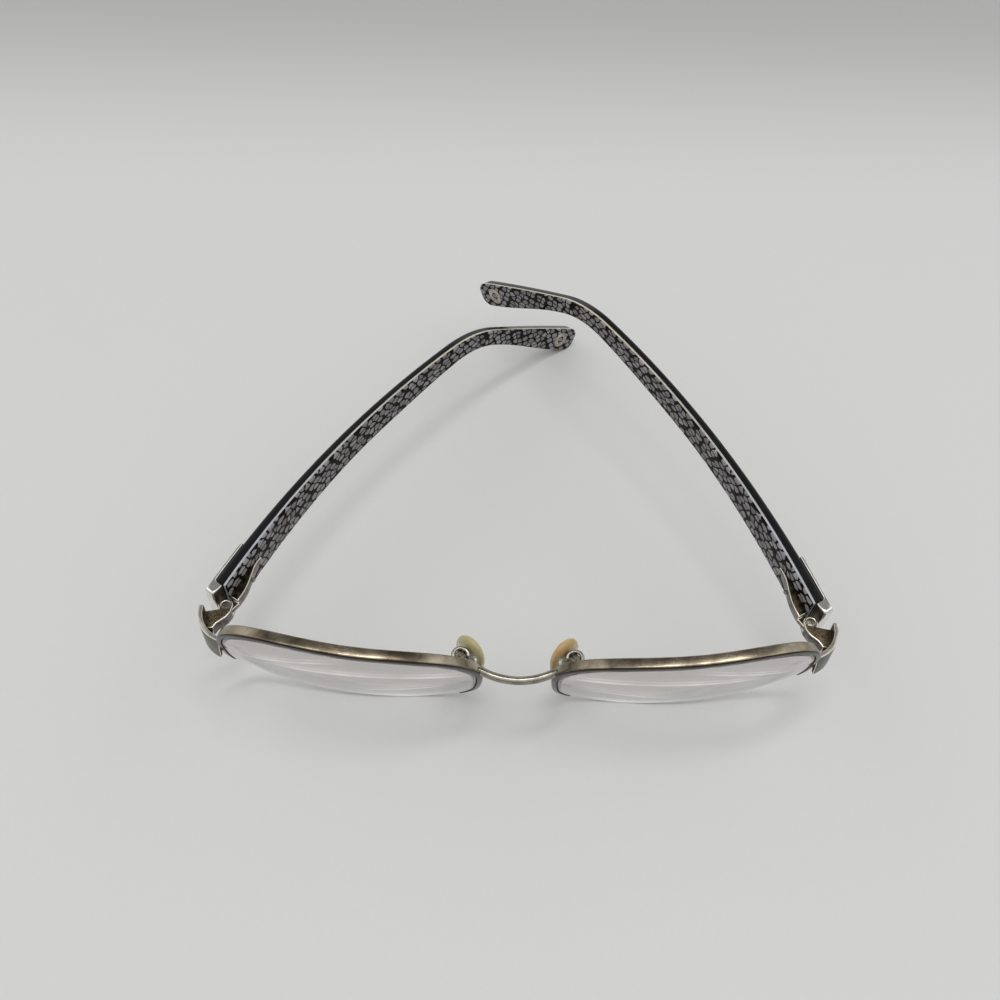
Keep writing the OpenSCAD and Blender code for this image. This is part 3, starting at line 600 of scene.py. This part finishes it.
lensLookSize = {
    # bandStrength is how strongly the painted reflection bands glow
    "tint": (0.66, 0.62, 0.615), "foot": (0.80, 0.78, 0.775), "bandStrength": 0.3, "passed": 0.85,
    # centre, slope, half width, where it starts and ends across the lens
    "bands": ((0.0, 0.0, 0.065, -1.0, 0.72), (0.39, -0.40, 0.045, -0.05, 0.95),
              (-0.72, -0.42, 0.055, -0.85, 0.0), (-1.12, 0.0, 0.07, -0.75, 0.05)),
}


# one pale curved band of painted reflection: a mask from places across (U) and off the middle
# curve (V)
def makePaintedReflectionBand():
    group, given, out = newGroup("paintedReflectionBand", [
        ("U", 0), ("V", 0), ("Centre", 0), ("Slope", 0), ("Width", 0.08), ("From", -1),
        ("To", 1)], ["Mask"])
    across = given.outputs["U"]
    middle = maths(group, "MULTIPLY_ADD", across, given.outputs["Slope"],
                   given.outputs["Centre"])
    away = maths(group, "ABSOLUTE", maths(group, "SUBTRACT", given.outputs["V"], middle))
    line = addNode(group, "ShaderNodeMapRange", interpolation_type="SMOOTHSTEP",
                   in_From_Min=0.0, in_To_Min=1.0, in_To_Max=0.0)
    group.links.new(away, line.inputs["Value"])
    group.links.new(given.outputs["Width"], line.inputs["From Max"])
    fades = []
    for label, sign in (("From", 1), ("To", -1)):
        inside = maths(group, "SUBTRACT", across, given.outputs[label])
        fades.append(spread(group, maths(group, "MULTIPLY", inside, sign), 0, 1, 0, 0.35,
                            "SMOOTHSTEP"))
    ends = maths(group, "MULTIPLY", *fades)
    group.links.new(maths(group, "MULTIPLY", line.outputs[0], ends), out.inputs["Mask"])
    return group


paintedReflectionBand = makePaintedReflectionBand()


# clear lens with a faint warm coating; pale bands of painted reflection, made to glow, follow its
# lower edge
def lensGlass():
    material, tree, shader = newMaterial(
        "lensGlass", lensLookSize["tint"], Roughness=0.0, IOR=1.5, Transmission_Weight=1.0,
        Emission_Strength=lensLookSize["bandStrength"])
    link = tree.links.new
    handledGloss(tree, shader, 55, 0.0, 0.03)
    pair, across, height = alongAndDown(tree)
    # painted light: the glass colour is made paler towards its foot
    link(mixColour(tree, spread(tree, height, 0, 1, 0.5, -0.7), lensLookSize["tint"],
                   lensLookSize["foot"]), shader.inputs["Base Color"])
    # the middle curve that the bands follow: 0.46 - 0.22 U - 0.25 U squared
    bent = maths(tree, "MULTIPLY_ADD", across, 0.25, 0.22)
    level = maths(tree, "SUBTRACT", maths(tree, "MULTIPLY_ADD", bent, across, height), 0.46)
    total = 0
    for centre, slope, width, start, end in lensLookSize["bands"]:
        band = addNode(tree, "ShaderNodeGroup", node_tree=paintedReflectionBand, in_Centre=centre,
                       in_Slope=slope, in_Width=width, in_From=start, in_To=end)
        link(across, band.inputs["U"])
        link(level, band.inputs["V"])
        total = maths(tree, "MAXIMUM", total, band.outputs["Mask"])
    uneven = addNode(tree, "ShaderNodeTexNoise", in_Scale=3.0, in_Detail=2.0)
    link(pair, uneven.inputs["Vector"])
    varied = maths(tree, "MULTIPLY", total,
                   spread(tree, uneven.outputs[0], 0.45, 1.0, 0.35, 0.62))
    # the bands glow through the emission colour: a painted reflection
    link(mixColour(tree, varied, (0, 0, 0), (1.0, 0.985, 0.99)), shader.inputs["Emission Color"])
    # light on its way to the table passes, so that the lens's shadow stays pale
    path = addNode(tree, "ShaderNodeLightPath")
    passing = maths(tree, "MAXIMUM", path.outputs["Is Shadow Ray"],
                    path.outputs["Is Diffuse Ray"])
    link(maths(tree, "MULTIPLY_ADD", passing, -lensLookSize["passed"], 1), shader.inputs["Alpha"])
    return material


def nylon():
    material, tree, shader = newMaterial("nylon", (0.86, 0.86, 0.84), Roughness=0.22, IOR=1.53,
                                         Transmission_Weight=0.7)
    handledGloss(tree, shader, 400, 0.18, 0.30)
    return material


# the fine-ground edge of the lens, pale and nearly matt; a painted glow lights it along the
# bottom
def groundEdge():
    material, tree, shader = newMaterial(
        "groundEdge", (0.93, 0.925, 0.93), Roughness=0.42, IOR=1.5, Transmission_Weight=0.3,
        Emission_Strength=0.32)
    brushed = addNode(tree, "ShaderNodeGroup", node_tree=brushedMarks, in_Across=900,
                      in_Along=900)
    height = alongAndDown(tree)[2]
    # the glow along the bottom is painted light
    tree.links.new(mixColour(tree, spread(tree, height, 0, 1, -0.35, -0.8), (0, 0, 0),
                             (1.0, 0.99, 0.99)), shader.inputs["Emission Color"])
    tree.links.new(spread(tree, brushed.outputs["Marks"], 0.34, 0.52), shader.inputs["Roughness"])
    bump(tree, brushed.outputs["Marks"], shader, 0.1, 0.00001)
    return material


# the front land of the edge, painted dark as shade where the glass looks dark
def shadedEdge():
    material, tree, shader = newMaterial("shadedEdge", (0.24, 0.23, 0.23), Roughness=0.5)
    brushed = addNode(tree, "ShaderNodeGroup", node_tree=brushedMarks, in_Across=900,
                      in_Along=900)
    tree.links.new(mixColour(tree, brushed.outputs["Blotches"], (0.14, 0.135, 0.13),
                             (0.34, 0.33, 0.33)), shader.inputs["Base Color"])
    return material


lensLooks, nylonLook = (lensGlass(), groundEdge(), shadedEdge()), nylon()
for side in sides:
    addPiece(side + "_lens_ground", makeLens(side), "front", side + "_lens", "lens", *lensLooks)
    addPiece(side + "_rim_bar", makeRim(side), "front", side + "_rim", "rim_metal",
             metals["rimMetal"])
    addPiece(side + "_nylon_thread", makeThread(side), "front", side + "_lens_thread", "nylon",
             nylonLook)
print("lenses and rims made")

templeSize = {
    "long": 144.0, "high": 8.3, "midHigh": 6.6, "bendHigh": 4.4, "tipHigh": 7.0, "corner": 2.5,
    "thick": 3.5, "slim": 0.6, "stripe": 0.5, "inlay": 0.5, "bow": 8.8, "out": 4.0,
    "bendStart": 90.5, "bendRadius": 35.0, "bend": 28.2, "front": 2.2, "taperEnd": 60,
    "outerRound": 0.75, "innerRound": 0.32, "step": 1.9, "fineStep": 1.1, "nearBend": 4,
    "closing": (0.12, 0.3),  # how much smaller the last two rings are, which close the tip
}
bendEnd = templeSize["bendStart"] + templeSize["bendRadius"] * radians(templeSize["bend"])
tipMiddle = (templeSize["long"] - templeSize["corner"],
             templeSize["tipHigh"] - templeSize["corner"])


def bentTo(s):
    return min(max(s - templeSize["bendStart"], 0) / templeSize["bendRadius"],
               radians(templeSize["bend"]))


# place in the temple's side view, from the distance along the top edge and the depth under it
def sidePoint(s, down):
    a, rest, r = bentTo(s), max(s - bendEnd, 0), templeSize["bendRadius"]
    y = min(s, templeSize["bendStart"]) + r * sin(a) + rest * cos(a)
    z = templeSize["high"] / 2 - r * (1 - cos(a)) - rest * sin(a)
    return y - down * sin(a), z - down * cos(a)


def ease(a, b, f):
    return a + (b - a) * (1 - cos(pi * f)) / 2


def depthAt(s):
    t = templeSize
    if s < t["taperEnd"]:
        return ease(t["high"], t["midHigh"], s / t["taperEnd"])
    if s < bendEnd:
        part = (s - t["taperEnd"]) / (bendEnd - t["taperEnd"])
        return ease(t["midHigh"], t["bendHigh"], part)
    return ease(t["bendHigh"], t["tipHigh"], min((s - bendEnd) / (tipMiddle[0] - bendEnd), 1))


planLong = sidePoint(templeSize["long"], 0)[0]


def bowRadius(bow):
    return (planLong * planLong / 4 + bow * bow) / (2 * bow)


# X of a face of the layers at a distance back; deep is how far in from the inner face
def faceX(y, deep=None):
    t = templeSize
    if deep is None:
        r = bowRadius(t["bow"])
        return t["out"] + t["bow"] - r + sqrt(r * r - (y - planLong / 2) ** 2)
    r = bowRadius(t["bow"] + t["slim"])
    middle = t["out"] - t["thick"] + t["bow"] + t["slim"] - r
    return middle + sqrt((r + deep) ** 2 - (y - planLong / 2) ** 2)


# stations along the temple with the top and bottom of the side view at each
def templeStations():
    t, s, out = templeSize, templeSize["front"], []
    while s < tipMiddle[0] - 0.01:
        out.append((s, 0.0, depthAt(s)))
        bending = t["bendStart"] - t["nearBend"] < s < bendEnd + t["nearBend"]
        s += t["fineStep"] if bending else t["step"]
    r = t["corner"]
    for i in range(11):
        a = radians(9 * i)
        out.append((tipMiddle[0] + r * sin(a), r * (1 - cos(a)), tipMiddle[1] + r * cos(a)))
    s, top, bottom = out[-1]
    return out + [(s, top + inset, bottom - inset) for inset in t["closing"]]


# one layer between two faces, each a distance in from the inner face; None is the outer face
def makeLayer(side, name, outerDeep, innerDeep, radii):
    rings, uvs = [], []
    for s, top, bottom in templeStations():
        y = sidePoint(s, (top + bottom) / 2)[0]
        wide = faceX(y, outerDeep) - faceX(y, innerDeep)
        ring, uv = [], []
        fitting = [min(r, wide * 0.8) for r in radii]
        for across, down in roundedBox(wide, bottom - top, fitting, 5):
            py, pz = sidePoint(s, top + down)
            low, high = faceX(py, innerDeep), faceX(py, outerDeep)
            ring.append(Vector((high - (high - low) * across / wide, py, pz)))
            uv.append((s * 0.001, (top + down) * 0.001))
        rings.append(ring)
        uvs.append(uv)
    bm = bmesh.new()
    skin(bm, rings, uvs=uvs)
    return finishMesh(bm, side + name, templePlace(side), 40)


def blackAcetate():
    material, tree, shader = newMaterial("blackAcetate", (0.006, 0.006, 0.007), Roughness=0.16,
                                         IOR=1.5, Specular_IOR_Level=0.34)
    handled = handledGloss(tree, shader, 180, 0.13, 0.30)
    tree.links.new(mixColour(tree, handled.outputs["Specks"], (0.006, 0.006, 0.007),
                             (0.04, 0.04, 0.042)), shader.inputs["Base Color"])
    bump(tree, handled.outputs["Film"], shader, 0.08, 0.00003)
    return material


# cool grey by the hinge, warmer and yellower from there on
def creamAcetate():
    material, tree, shader = newMaterial("creamAcetate", (0.62, 0.58, 0.49), Roughness=0.22,
                                         Subsurface_Weight=0.15, Subsurface_Scale=0.0006)
    handled = handledGloss(tree, shader, 320, 0.18, 0.34)
    warmer = spread(tree, alongAndDown(tree)[1], 0, 1, 0.02, 0.10)
    aged = mixColour(tree, warmer, (0.50, 0.51, 0.55), (0.66, 0.60, 0.48))
    worn = mixColour(tree, warmer, (0.34, 0.35, 0.38), (0.50, 0.45, 0.34))
    tree.links.new(mixColour(tree, handled.outputs["Film"], aged, worn),
                   shader.inputs["Base Color"])
    return material


pebbleSize = {"across": 430, "down": 700, "slant": 28, "random": 0.7, "small": 0.42,
              "large": 0.56, "wobble": 0.35}


# near-black layer printed with loose grey pebbles, each with its own size and tone
def pebbledAcetate():
    material, tree, shader = newMaterial(
        "pebbledAcetate", (0.3, 0.29, 0.29), IOR=1.5, Specular_IOR_Level=0.05)
    link = tree.links.new
    where = addNode(tree, "ShaderNodeUVMap", uv_map="alongAndDown")
    slant = addNode(tree, "ShaderNodeMapping", in_Rotation=(0, 0, radians(pebbleSize["slant"])),
                    in_Scale=(pebbleSize["across"], pebbleSize["down"], 1))
    link(where.outputs[0], slant.inputs["Vector"])
    wobble = addNode(tree, "ShaderNodeTexNoise", noise_dimensions="2D", in_Scale=1.1,
                     in_Detail=1.0)
    link(slant.outputs[0], wobble.inputs["Vector"])
    shift = addNode(tree, "ShaderNodeVectorMath", operation="MULTIPLY_ADD",
                    in_1=(pebbleSize["wobble"],) * 3)
    link(wobble.outputs["Color"], shift.inputs[0])
    link(slant.outputs[0], shift.inputs[2])
    cells = addNode(tree, "ShaderNodeTexVoronoi", voronoi_dimensions="2D", in_Scale=1.0,
                    in_Randomness=pebbleSize["random"])
    edges = addNode(tree, "ShaderNodeTexVoronoi", voronoi_dimensions="2D",
                    feature="DISTANCE_TO_EDGE", in_Scale=1.0, in_Randomness=pebbleSize["random"])
    link(shift.outputs[0], cells.inputs["Vector"])
    link(shift.outputs[0], edges.inputs["Vector"])
    tint = addNode(tree, "ShaderNodeSeparateColor")
    link(cells.outputs["Color"], tint.inputs[0])
    reach = spread(tree, tint.outputs[1], pebbleSize["small"], pebbleSize["large"], 0, 1)
    short = maths(tree, "SUBTRACT", reach, cells.outputs["Distance"])
    apart = spread(tree, edges.outputs["Distance"], 0, 1, 0.075, 0.12)
    inside = maths(tree, "MULTIPLY", spread(tree, short, 0, 1, 0.0, 0.05), apart)
    tone = mixColour(tree, tint.outputs[0], (0.17, 0.165, 0.165), (0.31, 0.30, 0.31))
    link(mixColour(tree, inside, (0.008, 0.006, 0.005), tone), shader.inputs["Base Color"])
    handledGloss(tree, shader, 200, 0.14, 0.24)
    bump(tree, inside, shader, 0.12, 0.00002)
    return material


def makeLayers():
    outer, inner = templeSize["outerRound"], templeSize["innerRound"]
    inlay = templeSize["inlay"]
    seam = inlay + templeSize["stripe"]
    # each layer's two faces, corner radii, node, slot and finish
    layers = {
        "_black_layer": (None, seam, (outer, 0, 0, outer), "_temple_outer", "black_acetate",
                         blackAcetate()),
        "_cream_layer": (seam, inlay, (0, 0, 0, 0), "_temple_stripe", "cream_acetate",
                         creamAcetate()),
        "_pebbled_layer": (inlay, 0, (0, inner, inner, 0), "_temple_inlay", "patterned_acetate",
                           pebbledAcetate()),
    }
    for side in sides:
        for name, (outerDeep, innerDeep, radii, node, slot, look) in layers.items():
            addPiece(side + name, makeLayer(side, name, outerDeep, innerDeep, radii),
                     side + "_temple", side + node, slot, look)


makeLayers()

ringSize = {"outer": 4.5, "inner": 2.2, "fromTip": 6.0, "proud": 0.14, "sunk": 0.3, "lip": 0.26,
            "dish": 0.12, "soft": 0.06, "slope": 0.05, "steps": 72}


# a flat ring with two raised lips, let into the inner face near each tip
def makeTipRing(side):
    y0, z0 = sidePoint(templeSize["long"] - ringSize["fromTip"], templeSize["tipHigh"] / 2)
    inner, outer, lip = ringSize["inner"] / 2, ringSize["outer"] / 2, ringSize["lip"]
    up, low, sunk = -ringSize["proud"], -ringSize["proud"] + ringSize["dish"], ringSize["sunk"]
    soft, slope = ringSize["soft"], ringSize["slope"]
    section = [(inner, sunk), (inner, up + soft), (inner + soft, up), (inner + lip - soft, up),
               (inner + lip, up + slope), (inner + lip + slope, low),
               (outer - lip - slope, low), (outer - lip, up + slope), (outer - lip + soft, up),
               (outer - soft, up), (outer, up + soft), (outer, sunk)]
    rings = []
    for i in range(ringSize["steps"]):
        a = 2 * pi * i / ringSize["steps"]
        ring = []
        for r, deep in section:
            y, z = y0 + r * cos(a), z0 + r * sin(a)
            ring.append(Vector((faceX(y, 0) + deep, y, z)))
        rings.append(ring)
    bm = bmesh.new()
    skin(bm, rings, closedAlong=True)
    return finishMesh(bm, side + "_inset_ring", templePlace(side), 50)


for side in sides:
    addPiece(side + "_inset_ring", makeTipRing(side), side + "_temple", side + "_tip_ring",
             "champagne_ring", metals["ringMetal"])
print("temples made")

padSize = {
    "x": 9.3, "back": 6.9, "up": 17.6, "splay": 46, "lean": 10, "high": 10.4, "drop": 1.9,
    "wide": 7.6, "thick": 2.5, "pivot": 3.0, "taper": 0.14, "full": 0.8,
    "rings": 32, "around": 48, "reach": 84,
}
armSize = {
    "across": 0.85, "up": 7.2, "seat": 0.14, "into": 0.2, "foot": 1.2, "endRound": 0.3,
    "loop": 1.8, "tight": 1.27, "shrinkFrom": 60, "shrinkTo": 150, "first": -70, "last": 230,
    "step": 20, "sides": 16, "boxHalf": 1.15, "overBox": 0.08,
}
# the left pad's own frame, as the front sees it
padLocal = (move(padSize["x"], padSize["back"], padSize["up"]) @ turn(-padSize["splay"], "Z")
            @ turn(-padSize["lean"], "Y"))


def signedPower(v, e):
    return abs(v) ** e * (1 if v >= 0 else -1)


def makePad(side):
    wide, thick, high = padSize["wide"] / 2, padSize["thick"] / 2, padSize["high"] / 2
    around = [2 * pi * k / padSize["around"] for k in range(padSize["around"])]
    rings = []
    for i in range(padSize["rings"] + 1):
        b = radians(padSize["reach"] * (2 * i / padSize["rings"] - 1))
        r, up = signedPower(cos(b), padSize["full"]), signedPower(sin(b), padSize["full"])
        narrow = 1 - padSize["taper"] * up
        rings.append([Vector((thick * r * cos(a), -wide * r * narrow * sin(a),
                              high * up - padSize["drop"])) for a in around])
    bm = bmesh.new()
    skin(bm, rings)
    return finishMesh(bm, side + "_soft_pad", frontPlace(side) @ padLocal, 60)


# the wire leaves the rim's back and ends in a loop over the pad's box
def makeArm(side):
    x, z = outlineOff(angleAtHeight(armSize["up"], True), rimSize["gap"] + rimSize["high"] / 2)
    points = [lensLocal @ onCurve(x, z, rimSize["deep"] / 2 + off)
              for off in (armSize["seat"] - armSize["into"], armSize["foot"])]
    over = armSize["boxHalf"] + armSize["across"] / 2 + armSize["overBox"]
    for a in range(armSize["first"], armSize["last"] + 1, armSize["step"]):
        part = (a - armSize["shrinkFrom"]) / (armSize["shrinkTo"] - armSize["shrinkFrom"])
        r = armSize["loop"] + (armSize["tight"] - armSize["loop"]) * min(max(part, 0), 1)
        points.append(padLocal @ Vector((padSize["pivot"] + r * cos(radians(a)),
                                         r * sin(radians(a)), over)))
    bm = bmesh.new()
    skin(bm, wireRings(smoothPath(points), armSize["across"] / 2, armSize["sides"],
                       endRound=armSize["endRound"]))
    return finishMesh(bm, side + "_arm_wire", frontPlace(side))


def silicone(name, colour, deep):
    material, tree, shader = newMaterial(
        name, colour, Roughness=0.14, IOR=1.42, Transmission_Weight=0.3,
        Subsurface_Weight=0.5, Subsurface_Scale=0.0015)
    handled = handledGloss(tree, shader, 350, 0.1, 0.24, amount=0.5)
    tree.links.new(mixColour(tree, handled.outputs["Film"], colour, deep),
                   shader.inputs["Base Color"])
    return material


padLooks = {
    "right": ("pad_olive", silicone("oliveSilicone", (0.66, 0.61, 0.34), (0.50, 0.45, 0.22))),
    "left": ("pad_amber", silicone("amberSilicone", (0.74, 0.55, 0.26), (0.60, 0.41, 0.16))),
}
for side in sides:
    addPiece(side + "_soft_pad", makePad(side), side + "_pad", side + "_nose_pad",
             *padLooks[side])
    addPiece(side + "_arm_wire", makeArm(side), "front", side + "_pad_arm", "polished_metal",
             metals["armMetal"])
print("nose pads made")

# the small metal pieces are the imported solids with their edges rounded: what carries each, the
# width of its rounded edge, its slot and its finishes
filedPieces = {
    # end piece: the strips and the tops take a painted highlight, the inward faces painted shade
    "end_piece": ("front", 0.16, "satin_nickel",
                  ("satinNickel", "polishedEdgeHighlight", "polishedEdgeHighlight", "paintedShadeMetal")),
    # hinge leaves: the strips take a painted highlight
    "hinge_leaves": ("front", 0.2, "cast_hinge",
                     ("hingeSteel", "polishedEdgeHighlight", "castGold", "hingeSteel")),
    "hinge_screw": ("front", 0.06, "screw_steel", ("screwSteel",) * 4),
    "pad_box": ("front", 0.08, "polished_metal", ("dullBox",) * 4),
    "pad_screw": ("front", 0.05, "screw_steel", ("dullBox",) * 4),
    # housing: the strips take a painted highlight, the tops and bottoms painted shade
    "hinge_housing": ("temple", 0.16, "cast_hinge",
                      ("hingeSteel", "polishedEdgeHighlight", "paintedDarkTop", "hingeSteel")),
    # plaque: the inward faces take painted shade
    "temple_plaque": ("temple", 0.3, "bright_plaque", ("plaqueMetal",) * 3 + ("paintedShadeMetal",)),
    "pad_insert": ("pad", 0.05, "polished_metal", ("dullBox",) * 4),
}
# the plaque's copy is made higher, so that its top edge shows level with the temple
plaqueGrow = {"by": 0.7, "beyond": 2.2}
for side in sides:
    for piece, (carrier, width, slot, looks) in filedPieces.items():
        body = "front" if carrier == "front" else side + "_" + carrier
        place = templePlace(side) if carrier == "temple" else leafPlace(side)
        mesh = rounded(side + "_" + piece, width, place,
                       plaqueGrow if piece == "temple_plaque" else None)
        addPiece(side + "_" + piece + "_filed", mesh, body, side + "_" + piece, slot,
                 *(metals[look] for look in looks))

addPiece("bridge_wire", rounded("bridge", 0.05), "front", "bridge", "polished_metal",
         metals["bridgeMetal"], metals["bridgeMetal"])

# nodes that stay as packed, with a better finish in the slots they have
plainNodes = {"rim_liner": None, "core_wire": "coreSteel", "temple_rivets": "screwSteel"}
for name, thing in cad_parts.items():
    for part, look in plainNodes.items():
        if name.endswith(part):
            for slot in thing.material_slots:
                slot.material = metals[look] if look else nylonLook
print("small pieces made")

stageLook = {
    "floor": (0.70, 0.705, 0.70), "radius": 3.0, "grain": 900.0, "grainTone": 0.015,
    "paintedFarShade": 0.66, "farFrom": 0.14, "farTo": 0.34,
}


def tableTop():
    material, tree, shader = newMaterial("tableTop", stageLook["floor"], Roughness=0.55)
    where = addNode(tree, "ShaderNodeTexCoord").outputs["Object"]
    grain = addNode(tree, "ShaderNodeTexNoise", in_Scale=stageLook["grain"], in_Detail=3.0)
    tree.links.new(where, grain.inputs["Vector"])
    shares = (1 - stageLook["grainTone"], 1 + stageLook["grainTone"], stageLook["paintedFarShade"])
    low, high, dim = (tuple(c * share for c in stageLook["floor"]) for share in shares)
    split = addNode(tree, "ShaderNodeSeparateXYZ")
    tree.links.new(where, split.inputs[0])
    # the floor is painted darker further back: painted shade
    far = spread(tree, split.outputs["Y"], 0, 1, stageLook["farFrom"], stageLook["farTo"],
                 "SMOOTHSTEP")
    near = mixColour(tree, grain.outputs[0], low, high)
    tree.links.new(mixColour(tree, far, near, dim), shader.inputs["Base Color"])
    return material


bm = bmesh.new()
bmesh.ops.create_circle(bm, cap_ends=True, radius=stageLook["radius"], segments=96)
floorMesh = bpy.data.meshes.new("table_top")
bm.to_mesh(floorMesh)
bm.free()
floor = addObject("table_top", floorMesh)
floorMesh.materials.append(tableTop())

# levels are shares of the full strength
roomLook = {
    "colour": (1.0, 1.0, 1.0), "strength": 1.4,
    "lineLevel": 0.34, "fullHeight": 0.85,
    "behindLevel": 0.55, "behindFrom": -0.9, "behindTo": 0.3,
    "patchToward": (0.0, 0.454, 0.891), "patchLevel": 0.16, "patchFrom": 0.74, "patchTo": 0.94,
}


# a pale room: bright overhead, darker towards the floor line, behind the camera and in one
# patch high at the back, which the flat tops mirror
def paleRoom():
    world = bpy.data.worlds.new("paleRoom")
    bpy.context.scene.world = world
    world.use_nodes = True
    tree = world.node_tree
    sky = tree.nodes["Background"]
    sky.inputs["Strength"].default_value = roomLook["strength"]
    where = addNode(tree, "ShaderNodeTexCoord").outputs["Generated"]
    split = addNode(tree, "ShaderNodeSeparateXYZ")
    tree.links.new(where, split.inputs[0])
    rise = spread(tree, split.outputs["Z"], roomLook["lineLevel"], 1, 0, roomLook["fullHeight"],
                  "SMOOTHSTEP")
    behind = spread(tree, split.outputs["Y"], roomLook["behindLevel"], 1,
                    roomLook["behindFrom"], roomLook["behindTo"], "SMOOTHSTEP")
    near = addNode(tree, "ShaderNodeVectorMath", operation="DOT_PRODUCT",
                   in_1=roomLook["patchToward"])
    tree.links.new(where, near.inputs[0])
    patch = spread(tree, near.outputs["Value"], 1, roomLook["patchLevel"],
                   roomLook["patchFrom"], roomLook["patchTo"], "SMOOTHSTEP")
    level = maths(tree, "MULTIPLY", maths(tree, "MULTIPLY", rise, behind), patch)
    tree.links.new(mixColour(tree, level, (0, 0, 0), roomLook["colour"]), sky.inputs["Color"])


paleRoom()

lampFacts = {"place": (0.02, -0.06, 0.95), "aim": (0, -0.02, 0), "size": (0.5, 0.14),
             "power": 1.6, "colour": (1.0, 0.965, 0.91)}


def addLamp():
    lamp = bpy.data.lights.new("overheadLamp", "AREA")
    lamp.shape = "RECTANGLE"
    lamp.size, lamp.size_y = lampFacts["size"]
    lamp.energy, lamp.color = lampFacts["power"], lampFacts["colour"]
    holder = addObject("overheadLamp", lamp)
    holder.location = lampFacts["place"]
    toward = Vector(lampFacts["aim"]) - Vector(lampFacts["place"])
    holder.rotation_euler = toward.to_track_quat("-Z", "Y").to_euler()


addLamp()

# the photograph was taken from in front and above
cameraFacts = {"place": (-0.00469, -0.164585, 0.18355), "down": 48.17, "aside": 0.1, "roll": 1.74,
               "lens": 34.25}


def makeCamera():
    down, aside, roll = (radians(cameraFacts[k]) for k in ("down", "aside", "roll"))
    forward = Vector((sin(aside) * cos(down), cos(aside) * cos(down), -sin(down)))
    right = Vector((cos(aside), -sin(aside), 0))
    up = right.cross(forward)
    turnedRight = right * cos(roll) + up * sin(roll)
    turnedUp = up * cos(roll) - right * sin(roll)
    data = bpy.data.cameras.new("photoCamera")
    data.lens, data.sensor_width = cameraFacts["lens"], 36.0
    data.clip_start, data.clip_end = 0.01, 20
    camera = addObject("photoCamera", data)
    rotation = Matrix((turnedRight, turnedUp, -forward)).transposed().to_4x4()
    camera.matrix_world = Matrix.Translation(cameraFacts["place"]) @ rotation
    bpy.context.scene.camera = camera


makeCamera()
bpy.context.scene.view_settings.view_transform = "Standard"
print("table, light and camera made")
